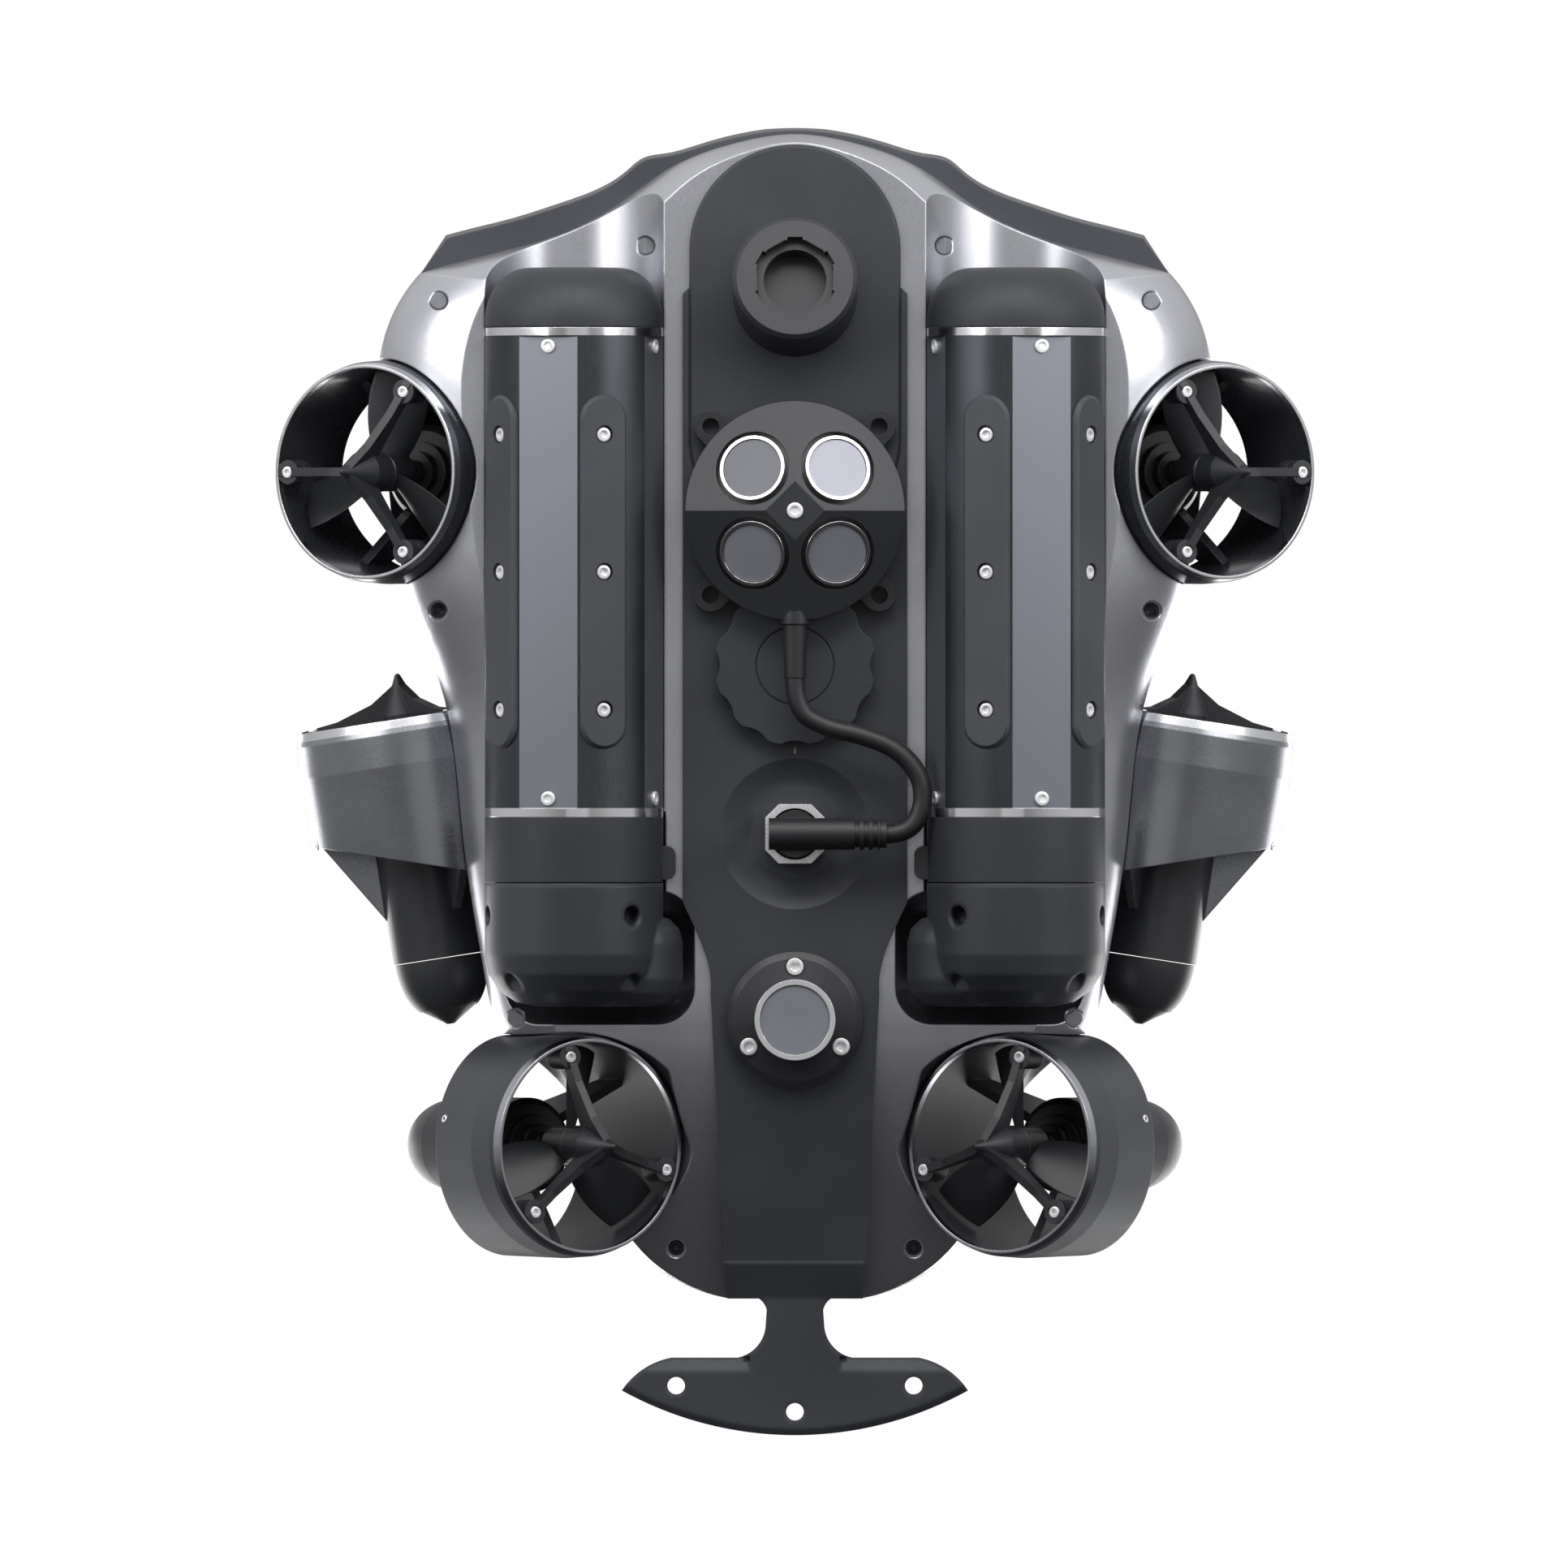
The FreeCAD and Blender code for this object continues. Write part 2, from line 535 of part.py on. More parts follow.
def tail_fin():
    behind = {"notch": (12.5, -0.4), "throat": (10.3, 1.5), "neck": (9.3, 3.7), "neck_low": (9.7, 9.5),
              "bend": (12.4, 15.7), "arm_in": (18.8, 19.5), "arm_out": (40.7, 19.5), "sweep": (50.3, 23.5),
              "tip": (57.0, 30.3), "end": (0, 45.0)}
    p = {name: V(x, TAIL_Y - back) for name, (x, back) in behind.items()}
    right = [arc(p["notch"], p["throat"], p["neck"]), line(p["neck"], p["neck_low"]),
             arc(p["neck_low"], p["bend"], p["arm_in"]), line(p["arm_in"], p["arm_out"]),
             arc(p["arm_out"], p["sweep"], p["tip"])]
    left = [e.mirror(V(0, 0, 0), V(1, 0, 0)) for e in right]
    tip_left = V(-p["tip"].x, p["tip"].y)
    ends = [arc(p["tip"], p["end"], tip_left), line(V(-p["notch"].x, p["notch"].y), p["notch"])]
    low = belly_height(TAIL_Y) - KEEL_THICK
    outline = Part.Wire(Part.sortEdges(right + left + ends)[0])
    blade = prism(outline, FIN_THICK)
    trailing = [e for e in blade.Edges if abs(e.CenterOfMass.z) < 0.01 and e.CenterOfMass.y < p["tip"].y]
    blade = blade.makeChamfer(FIN_BEVEL, trailing)
    arm_y = p["arm_in"].y
    wedge = polygon([V(0, arm_y + 0.5, -1), V(0, arm_y - 2 * FIN_BEVEL, -0.01), V(0, arm_y + 0.5, FIN_BEVEL)])
    wedge = Part.Face(wedge).extrude(V(50, 0, 0))
    wedge.translate(V(p["arm_in"].x - 4, 0, 0))
    blade = blade.cut([wedge, mirrored(wedge)])
    blade.translate(V(0, 0, low))
    for x, y in FIN_HOLES:
        blade = blade.cut(cyl(FIN_HOLE_R, 60.0, V(x, y, low - 20.0), V(0, 0, 1)))
    blade = blade.cut(Part.makeBox(60, 10, 20,
                                   V(-30, TAIL_Y - SEAT_GAP, belly_height(TAIL_Y) - 2 * SEAT_GAP)))
    root = polygon([V(22.2, TAIL_Y), V(KEEL_TAIL_HALF, KEEL_TAIL_Y), V(-KEEL_TAIL_HALF, KEEL_TAIL_Y),
                    V(-22.2, TAIL_Y)])
    return blade.fuse(prism(root, 90.0).common(under_belly(0.0, KEEL_THICK))).removeSplitter()


# ---------------------------------------------------------------- velocity log, lead, knob, sonar

def eye_axes():
    """Place, outward direction and in-plane directions of the four transducers."""
    slope = math.radians(DVL_SLOPE)
    reach = EYE_OFFSET * math.sqrt(2) - DVL_FLAT / math.sqrt(2)
    z = DVL_FACE_Z + reach * math.tan(slope)
    for sx, sy in ((1, 1), (-1, 1), (-1, -1), (1, -1)):
        flat = V(sx, sy).normalize()
        out = flat * math.sin(slope) + V(0, 0, -math.cos(slope))
        side = V(-flat.y, flat.x, 0)
        yield V(sx * EYE_OFFSET, DVL_Y + sy * EYE_OFFSET, z), side, out.cross(side), out


def dvl_body(plate):
    under = BELLY_Z - KEEL_THICK
    disc = cyl(DVL_R, DVL_TOP_Z - DVL_FACE_Z, V(0, DVL_Y, DVL_FACE_Z), V(0, 0, 1))
    far = DVL_FLAT + math.sqrt(2) * (DVL_TOP_Z + 1 - DVL_FACE_Z) / math.tan(math.radians(DVL_SLOPE))
    diamonds = [polygon([V(d, DVL_Y, z), V(0, DVL_Y + d, z), V(-d, DVL_Y, z), V(0, DVL_Y - d, z)])
                for d, z in ((DVL_FLAT, DVL_FACE_Z), (far, DVL_TOP_Z + 1))]
    body = disc.common(Part.makeLoft(diamonds, True, True))
    neck = cyl(DVL_NECK_R, under - DVL_TOP_Z + 1.0, V(0, DVL_Y, DVL_TOP_Z - 1.0), V(0, 0, 1))
    body = body.fuse(neck)
    half = DVL_EAR_SPAN / 2
    for sx in (1, -1):
        for sy in (1, -1):
            spot = V(sx * half, DVL_Y + sy * half, DVL_EAR_Z)
            ear = cyl(DVL_EAR_R, under - DVL_EAR_Z, spot, V(0, 0, 1))
            web = Part.makeBox(20.0, 2 * DVL_EAR_R, under - DVL_EAR_Z, V(-20.0, -DVL_EAR_R, 0))
            web = turned(web, math.degrees(math.atan2(sy, sx)))
            web.translate(spot)
            body = body.fuse(ear).fuse(web)
    for sx in (1, -1):
        for sy in (1, -1):
            body = body.cut(cyl(DVL_EAR_HOLE_R, 40.0, V(sx * half, DVL_Y + sy * half, 0), V(0, 0, 1)))
    gland = cyl(GLAND_R, DVL_R - 28.0 + DVL_Y - DVL_R - RELIEF_Y, V(0, RELIEF_Y, CORD_Z), V(0, 1, 0))
    body = body.fuse(gland).cut(cyl(KNOB_R + FREE_GAP, 20.0, V(0, KNOB_Y, DVL_TOP_Z), V(0, 0, 1)))
    for place, side, third, out in eye_axes():
        recess = cyl(EYE_RECESS_R, EYE_RECESS_DEEP + 8.0, V(0, 0, -EYE_RECESS_DEEP), V(0, 0, 1))
        body = body.cut(placed(recess, side, third, out, place))
    return body.cut(plate)


def dvl_eyes():
    rings = []
    faces = []
    inner = EYE_RING_R - EYE_RING_WALL
    for place, side, third, out in eye_axes():
        ring = tube(EYE_RING_R, inner, EYE_RING_TALL, V(0, 0, -EYE_RECESS_DEEP), V(0, 0, 1))
        face = cyl(inner - SEAT_GAP, EYE_FACE_TALL, V(0, 0, -EYE_RECESS_DEEP), V(0, 0, 1))
        rings.append(placed(ring, side, third, out, place))
        faces.append(placed(face, side, third, out, place))
    return Part.Compound(rings), Part.Compound(faces)


def lead():
    """Tube along straight runs joined by tangent arcs, each arc as large as its two runs allow."""
    points = [V(x, y, CORD_Z) for x, y in CORD_ROUTE]
    edges = []
    at = points[0]
    radii = []
    for before, here, after in zip(points, points[1:], points[2:]):
        a = before - here
        b = after - here
        turn = math.pi - a.getAngle(b)
        radius = 0.45 * min(a.Length, b.Length) / math.tan(turn / 2)
        radii.append(radius)
        cut = radius * math.tan(turn / 2)
        a.normalize()
        b.normalize()
        start = here + a * cut
        end = here + b * cut
        inward = (a + b).normalize()
        middle = here + inward * (radius / math.cos(turn / 2) - radius)
        edges.append(line(at, start))
        edges.append(arc(start, middle, end))
        at = end
    edges.append(line(at, points[-1]))
    path = Part.Wire(edges)
    section = Part.Wire([Part.makeCircle(CORD_R, points[0], points[0] - points[1])])
    body = path.makePipeShell([section], True, False)
    print("lead radii", [round(r, 1) for r in radii], "length", round(path.Length, 1),
          "volume ratio", round(body.Volume / (math.pi * CORD_R ** 2 * path.Length), 4))
    return body


def dvl_strain_relief():
    relief_long = RELIEF_Y - CORD_ROUTE[0][1]
    return Part.makeCone(RELIEF_R, RELIEF_TIP_R, relief_long, V(0, RELIEF_Y, CORD_Z), V(0, -1, 0))


def dvl_plug():
    start_x = CORD_ROUTE[-1][0]
    port_z = BELLY_Z - KEEL_THICK + DISH_DEEP
    barrel = cyl(PLUG_R, PLUG_END_X - start_x - 2.2, V(start_x + 2.2, PORT_Y, CORD_Z), V(1, 0, 0))
    collar = cyl(PLUG_R - 0.6, 3.0, V(start_x, PORT_Y, CORD_Z), V(1, 0, 0))
    post = cyl(PLUG_POST_R, port_z - CORD_Z, V(0, PORT_Y, CORD_Z), V(0, 0, 1))
    body = barrel.fuse(collar).fuse(post)
    for x in PLUG_GROOVES:
        groove = tube(PLUG_R + 2, PLUG_R - GROOVE_DEEP, GROOVE_WIDE,
                      V(x - GROOVE_WIDE / 2, PORT_Y, CORD_Z), V(1, 0, 0))
        body = body.cut(groove)
    return body


def connector_nut():
    half = NUT_ACROSS / 2
    inner = half - NUT_CORNER
    floor_z = BELLY_Z - KEEL_THICK + DISH_DEEP
    corners = []
    for k in range(4):
        for x, y in ((half, -inner), (half, inner)):
            a = math.radians(90 * k)
            corners.append(V(x * math.cos(a) - y * math.sin(a),
                             PORT_Y + x * math.sin(a) + y * math.cos(a), floor_z))
    body = Part.Face(polygon(corners)).extrude(V(0, 0, -NUT_TALL))
    return body.cut(cyl(NUT_BORE_R, NUT_TALL, V(0, PORT_Y, floor_z - NUT_TALL), V(0, 0, 1)))


def lock_knob():
    under = BELLY_Z - KEEL_THICK - FREE_GAP
    body = cyl(KNOB_R, KNOB_TALL, V(0, KNOB_Y, under - KNOB_TALL), V(0, 0, 1))
    for k in range(KNOB_SCALLOPS):
        a = 2 * math.pi * k / KNOB_SCALLOPS
        reach = KNOB_R + SCALLOP_R - SCALLOP_DEEP
        spot = V(reach * math.cos(a), KNOB_Y + reach * math.sin(a), under - KNOB_TALL)
        body = body.cut(cyl(SCALLOP_R, KNOB_TALL, spot, V(0, 0, 1)))
    groove = tube(KNOB_RING_R, KNOB_RING_R - 0.5, 0.6, V(0, KNOB_Y, under - KNOB_TALL), V(0, 0, 1))
    pin = cyl(KNOB_PIN_R, KNOB_PIN_DEEP + FREE_GAP, V(0, KNOB_Y, under), V(0, 0, 1))
    return body.cut(groove).fuse(pin)


def sonar():
    under = BELLY_Z - KEEL_THICK
    face_z = under - SONAR_RING_TALL
    inner = SONAR_FACE_R + SEAT_GAP
    points = [(0, under + 8), (SONAR_R, under + 8), (SONAR_R, under - 1.6), (SONAR_R - 2.2, under - 3.0),
              (SONAR_RING_R, under - SONAR_TALL), (SONAR_RING_R, face_z), (inner, face_z),
              (inner, face_z + SONAR_FACE_DEEP + 0.6), (0, face_z + SONAR_FACE_DEEP + 0.6)]
    base = revolve_z(points)
    base.translate(V(0, SONAR_Y, 0))
    base = base.cut(under_belly(-40.0, 40.0 + KEEL_THICK))
    screws = []
    seat_z = under - SONAR_TALL + 1.8
    for k in range(3):
        a = math.radians(90 + 120 * k)
        spot = V(SONAR_SCREW_RING * math.cos(a), SONAR_Y + SONAR_SCREW_RING * math.sin(a), 0)
        base = base.cut(cyl(SONAR_SCREW_R + 0.3, seat_z, spot, V(0, 0, 1)))
        screws.append(cyl(SONAR_SCREW_R, 1.8, spot + V(0, 0, seat_z - 1.8), V(0, 0, 1)))
    face = cyl(SONAR_FACE_R, SONAR_FACE_DEEP, V(0, SONAR_Y, face_z + 0.6), V(0, 0, 1))
    return base, face, Part.Compound(screws)


# ---------------------------------------------------------------- batteries

def round_tube_point(angle, distance, y):
    a = math.radians(angle)
    return V(TUBE_X + distance * math.sin(a), y, TUBE_Z - distance * math.cos(a))


def tube_out(angle):
    a = math.radians(angle)
    return V(math.sin(a), 0, -math.cos(a))


def battery_tube():
    body = cyl(TUBE_R, TUBE_FRONT_Y - TUBE_REAR_Y, V(TUBE_X, TUBE_REAR_Y, TUBE_Z), V(0, 1, 0))
    flat = math.sqrt(TUBE_R ** 2 - FACET_HALF ** 2)
    length = TUBE_FRONT_Y - TUBE_REAR_Y - 6.0
    facet = Part.makeBox(2 * FACET_HALF + 4, length, 8.0, V(-FACET_HALF - 2, TUBE_REAR_Y + 3.0, -flat - 8.0))
    for k in range(4):
        cut = turned(facet, -(FACET_LEAN + 90 * k), V(0, 0, 0), V(0, 1, 0))
        cut.translate(V(TUBE_X, 0, TUBE_Z))
        body = body.cut(cut)
    for angle in PAD_ANGLES:
        for y in PAD_SCREW_Y:
            body = body.cut(cyl(TUBE_SCREW_R + SEAT_GAP, 6.0,
                                round_tube_point(angle, TUBE_R - 1.0, y), tube_out(angle)))
    return body


def battery_screws():
    flat = math.sqrt(TUBE_R ** 2 - FACET_HALF ** 2)
    heads = []
    for k in range(4):
        angle = FACET_LEAN + 90 * k
        for y in TUBE_SCREW_Y:
            heads.append(cyl(TUBE_SCREW_R, 1.0, round_tube_point(angle, flat, y), tube_out(angle)))
    for angle in PAD_ANGLES:
        for y in PAD_SCREW_Y:
            heads.append(cyl(TUBE_SCREW_R, 1.6, round_tube_point(angle, TUBE_R - 1.0, y), tube_out(angle)))
    return Part.Compound(heads)


def battery_pads():
    pads = []
    half = PAD_WIDE / 2
    middle = (PAD_FRONT_Y + PAD_REAR_Y) / 2
    root = TUBE_R - PAD_ROOT_DEEP
    tall = PAD_FACE - root
    bar = stadium(half, PAD_FRONT_Y - middle, PAD_REAR_Y - middle, 0.0, tall)
    bar = bar.makeChamfer(PAD_BEVEL, [e for e in bar.Edges if abs(e.CenterOfMass.z - tall) < 0.01])
    for angle in PAD_ANGLES:
        out = tube_out(angle)
        along = V(0, 1, 0)
        pad = placed(bar, along.cross(out), along, out, round_tube_point(angle, root, middle))
        pad = pad.cut(cyl(TUBE_R + 0.05, 200.0, V(TUBE_X, -20.0, TUBE_Z), V(0, 1, 0)))
        for y in PAD_SCREW_Y:
            pad = pad.cut(cyl(PAD_BORE_R, 2 * tall, round_tube_point(angle, root, y), out))
        pads.append(pad)
    return Part.Compound(pads)


def battery_cap():
    depth = CAP_FRONT_Y - TUBE_FRONT_Y
    straight = 2.5
    profile = [(0, 0), (TUBE_R, 0)]
    for k in range(7):
        a = math.radians(15 * k)
        radius = CAP_FLAT_R + (TUBE_R - CAP_FLAT_R) * math.cos(a)
        profile.append((radius, straight + (depth - straight) * math.sin(a)))
    profile.append((0, depth))
    return along_y(revolve_z(profile), V(TUBE_X, TUBE_FRONT_Y, TUBE_Z))


def latch_block(grow, deep):
    reach = LATCH_REACH - deep
    return Part.makeBox(reach + 2 * grow, LATCH_LONG + 2 * grow, LATCH_TALL + 2 * grow,
                        V(TUBE_X - LATCH_REACH - grow, LATCH_Y - LATCH_LONG / 2 - grow,
                          TUBE_Z - LATCH_TALL / 2 - grow))


def battery_latch():
    body = latch_block(0.0, LATCH_DEEP)
    ends = [e for e in body.Edges if e.CenterOfMass.x < TUBE_X - LATCH_REACH + 0.01
            and abs(e.Vertexes[0].Point.z - e.Vertexes[1].Point.z) > 1]
    return body.makeFillet(3.0, ends)


def battery_collar():
    length = TUBE_REAR_Y - COLLAR_REAR_Y
    body = cyl(TUBE_R, length, V(TUBE_X, COLLAR_REAR_Y, TUBE_Z), V(0, 1, 0))
    spigot = cyl(SPIGOT_R, SPIGOT_LONG + 1, V(TUBE_X, COLLAR_REAR_Y - SPIGOT_LONG, TUBE_Z), V(0, 1, 0))
    body = body.fuse(spigot)
    return body.cut(latch_block(FREE_GAP, LATCH_DEEP - LATCH_TRAVEL - 0.6))


def battery_dock():
    front_y = COLLAR_REAR_Y - FREE_GAP
    length = front_y - DOCK_REAR_Y
    bulge_long = 30.0
    profile = [(0, 0)] + rounded_end(TUBE_R, 17.0, 4) + [(TUBE_R, length), (0, length)]
    front_end = [(r, bulge_long - s) for r, s in reversed(rounded_end(DOCK_BULGE_R, 9.0, 3))]
    bulge = [(0, 0)] + rounded_end(DOCK_BULGE_R, 9.0, 3) + front_end + [(0, bulge_long)]
    body = along_y(revolve_z(profile), V(TUBE_X, DOCK_REAR_Y, TUBE_Z))
    bulge = along_y(revolve_z(bulge), V(DOCK_BULGE_X, DOCK_REAR_Y, TUBE_Z + 4.0))
    body = body.fuse(bulge)
    body = body.cut(cyl(SPIGOT_R + FREE_GAP, SPIGOT_LONG + 0.8,
                        V(TUBE_X, front_y - SPIGOT_LONG - 0.8, TUBE_Z), V(0, 1, 0)))
    for angle, y in VENTS:
        body = body.cut(cyl(VENT_R, VENT_DEEP + 4,
                            round_tube_point(angle, TUBE_R - VENT_DEEP, y), tube_out(angle)))
    return body


# ---------------------------------------------------------------- thrusters

def duct(unit):
    """Barrel-shaped duct with three vanes that carry the motor pod."""
    long = DUCT_BODY_LONG + 2
    wall = revolve_z([(DUCT_RIM_R, 0), DUCT_SHOULDER, (DUCT_MID_R, DUCT_MID_S), (DUCT_REAR_R, -long),
                      (DUCT_BORE_R, -long), (DUCT_BORE_R, 0)])
    slant = math.degrees(math.atan2(DUCT_BODY_LONG - DUCT_FREE_LONG, 2 * DUCT_REAR_R))
    off = Part.makeBox(160, 160, 60, V(-80, -80, -60))
    off.rotate(V(0, 0, 0), V(0, 1, 0), -slant)
    off.translate(V(0, 0, -(DUCT_BODY_LONG + DUCT_FREE_LONG) / 2))
    wall = wall.cut(off)
    vane = polygon([V(DUCT_BORE_R + 0.6, 0, -25.0), V(DUCT_BORE_R + 0.6, 0, -35.5), V(POD_R - 1, 0, -67.0),
                    V(POD_R - 1, 0, POD_FRONT_S - 1)])
    vane = Part.Face(vane).extrude(V(0, VANE_THICK, 0))
    vane.translate(V(0, -VANE_THICK / 2, 0))
    steps = [(0, POD_REAR_S), (POD_R, POD_REAR_S), (POD_R, POD_FRONT_S - 2), (POD_R - 2, POD_FRONT_S),
             (MOTOR_STEPS[0][0], POD_FRONT_S)]
    for (r, s), (r_next, s_next) in zip(MOTOR_STEPS, MOTOR_STEPS[1:] + [(SHAFT_R, SHAFT_FRONT_S)]):
        steps.append((r, s))
        steps.append((r_next, s))
    steps.append((SHAFT_R, SHAFT_FRONT_S))
    steps.append((0, SHAFT_FRONT_S))
    body = wall.fuse([turned(vane, unit["vanes"] + 120 * k) for k in range(3)]).fuse(revolve_z(steps))
    inside = cyl(DUCT_BORE_R + 0.5, 20, V(0, 0, GUARD_LUG_S), V(0, 0, 1))
    for k in range(3):
        lug = cyl(GUARD_PAD_R, GUARD_PAD_S - GUARD_LUG_S, V(GUARD_PAD_RING, 0, GUARD_LUG_S), V(0, 0, 1))
        body = body.fuse(turned(lug.common(inside), unit["arms"] + 120 * k))
    return body


def guard(unit):
    hub = revolve_z([(0, GUARD_TIP_S), (0.8, GUARD_TIP_S - 0.4), (4.0, 7.5), (GUARD_HUB_R, 1.5),
                     (GUARD_HUB_R, GUARD_HUB_REAR_S), (0, GUARD_HUB_REAR_S)])
    reach = DUCT_BORE_R - SEAT_GAP
    inside = cyl(reach, 60, V(0, 0, -20), V(0, 0, 1))
    arm = polygon([V(1, 0, 12.0), V(10, 0, 6.0), V(22, 0, 2.0), V(reach + 2, 0, 0.2),
                   V(reach + 2, 0, GUARD_PAD_S), V(24, 0, -2.6), V(5, 0, -1.0)])
    arm = Part.Face(arm).extrude(V(0, GUARD_ARM_THICK, 0))
    arm.translate(V(0, -GUARD_ARM_THICK / 2, 0))
    foot = cyl(GUARD_PAD_R, 0.2 - GUARD_PAD_S, V(GUARD_PAD_RING, 0, GUARD_PAD_S), V(0, 0, 1))
    arm = arm.fuse(foot).common(inside)
    arm = arm.cut(cyl(GUARD_SCREW_R + SEAT_GAP, 6.0, V(GUARD_PAD_RING, 0, -1.0), V(0, 0, 1)))
    return hub.fuse([turned(arm, unit["arms"] + 120 * k) for k in range(3)])


def guard_screws(unit):
    head = cyl(GUARD_SCREW_R, 1.8, V(GUARD_PAD_RING, 0, -1.0), V(0, 0, 1))
    return [turned(head, unit["arms"] + 120 * k) for k in range(3)]


def blade_section(radius, chord, thick, pitch):
    """Lens-shaped section of a blade, square to the blade's own radius."""
    p = math.radians(pitch)
    along = V(0, math.cos(p), math.sin(p))
    across = V(0, -math.sin(p), math.cos(p))
    middle = V(radius, 0, PROP_MID_S)
    lead_edge = middle + along * (chord / 2)
    trail_edge = middle - along * (chord / 2)
    up = middle + across * (thick / 2)
    down = middle - across * (thick / 2)
    return Part.Wire([arc(lead_edge, up, trail_edge), arc(trail_edge, down, lead_edge)])


def propeller():
    hub = revolve_z([(0, PROP_FRONT_S), (PROP_HUB_R - 1, PROP_FRONT_S), (PROP_HUB_R, PROP_FRONT_S - 1),
                     (PROP_HUB_R, PROP_REAR_S), (0, PROP_REAR_S)])
    blade = Part.makeLoft([blade_section(*section) for section in BLADE_SECTIONS], True, False)
    blade = blade.common(cyl(BLADE_TIP_R, 60, V(0, 0, -40), V(0, 0, 1)))
    body = hub.fuse([turned(blade, 360.0 * k / BLADES + 20) for k in range(BLADES)])
    bore = cyl(SHAFT_R + RUN_FIT, SHAFT_FRONT_S - PROP_REAR_S + 0.4, V(0, 0, PROP_REAR_S), V(0, 0, 1))
    return body.cut(bore)


def pod_cap():
    start = POD_REAR_S - FREE_GAP
    profile = [(0, start), (POD_R - 0.5, start), (15.1, -85.0), (13.9, -90.0), (12.1, -94.0), (9.6, -96.8),
               (8.6, -96.8), (1.2, CAP_TAIL_S), (0, CAP_TAIL_S)]
    return revolve_z(profile)


# ---------------------------------------------------------------- build

def build():
    nodes = {}
    lower, nodes["upper_shell"] = shells()
    nodes["lower_shell"], nodes["shell_plugs"], nodes["shell_screws"] = lower_fittings(lower)
    nodes["nose_visor"] = nose_visor()
    nodes["camera_lens"] = camera_lens()
    nodes["headlight_lenses"] = headlight_lenses()
    nodes["tether_socket"] = tether_socket()
    nodes["keel_cover"] = keel_cover()
    nodes["payload_plate"] = payload_plate()
    nodes["payload_socket"] = payload_socket()
    nodes["tail_fin"] = tail_fin()
    nodes["dvl_body"] = dvl_body(nodes["payload_plate"])
    nodes["dvl_transducer_rings"], nodes["dvl_transducer_faces"] = dvl_eyes()
    nodes["dvl_centre_screw"] = cyl(DVL_SCREW_R, 1.1, V(0, DVL_Y, DVL_FACE_Z - 1.1), V(0, 0, 1))
    nodes["dvl_strain_relief"] = dvl_strain_relief()
    nodes["dvl_lead"] = lead()
    nodes["dvl_plug"] = dvl_plug()
    nodes["connector_nut"] = connector_nut()
    nodes["lock_knob"] = lock_knob()
    nodes["sonar_base"], nodes["sonar_face"], nodes["sonar_screws"] = sonar()
    makers = {"battery_tube": battery_tube, "battery_cap": battery_cap, "battery_collar": battery_collar,
              "battery_pads": battery_pads, "battery_screws": battery_screws, "battery_latch": battery_latch,
              "battery_dock": battery_dock}
    for name, make in makers.items():
        nodes[name + "_right"] = make()
        nodes[name + "_left"] = mirrored(nodes[name + "_right"])
    caps = []
    screws = []
    for unit in (FRONT, MIDDLE, REAR):
        for name, shape in (("duct", duct(unit)), ("guard", guard(unit)), ("propeller", propeller())):
            nodes["%s_%s_right" % (unit["name"], name)] = set_in(unit, shape)
            nodes["%s_%s_left" % (unit["name"], name)] = mirrored(set_in(unit, shape))
        caps.append(set_in(unit, pod_cap()))
        screws += [set_in(unit, s) for s in guard_screws(unit)]
    nodes["pod_caps"] = Part.Compound(caps + [mirrored(c) for c in caps])
    nodes["guard_screws"] = Part.Compound(screws + [mirrored(s) for s in screws])
    return nodes


def main():
    os.makedirs("parts", exist_ok=True)
    for name, shape in build().items():
        shape.exportStep("parts/%s.step" % name)


main()
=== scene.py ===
import json
import math

import bmesh
import bpy
from mathutils import Matrix, Vector


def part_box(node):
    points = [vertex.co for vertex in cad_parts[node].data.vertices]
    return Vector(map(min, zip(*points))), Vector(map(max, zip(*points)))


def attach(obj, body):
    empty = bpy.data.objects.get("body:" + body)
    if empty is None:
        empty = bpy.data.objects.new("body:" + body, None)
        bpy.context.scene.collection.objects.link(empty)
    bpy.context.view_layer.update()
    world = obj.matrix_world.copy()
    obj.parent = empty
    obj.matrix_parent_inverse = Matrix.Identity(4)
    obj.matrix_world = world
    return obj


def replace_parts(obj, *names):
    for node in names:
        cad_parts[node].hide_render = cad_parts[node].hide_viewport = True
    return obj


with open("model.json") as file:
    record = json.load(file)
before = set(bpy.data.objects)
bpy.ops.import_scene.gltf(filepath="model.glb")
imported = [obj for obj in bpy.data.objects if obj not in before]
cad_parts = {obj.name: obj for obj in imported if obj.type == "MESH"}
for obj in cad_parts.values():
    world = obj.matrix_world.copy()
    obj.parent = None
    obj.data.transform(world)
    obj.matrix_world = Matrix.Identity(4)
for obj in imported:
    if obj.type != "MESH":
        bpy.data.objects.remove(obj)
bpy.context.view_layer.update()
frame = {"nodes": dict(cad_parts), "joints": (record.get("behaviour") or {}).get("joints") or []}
nodes = frame["nodes"]
joints = {j["name"]: j for j in frame["joints"]}

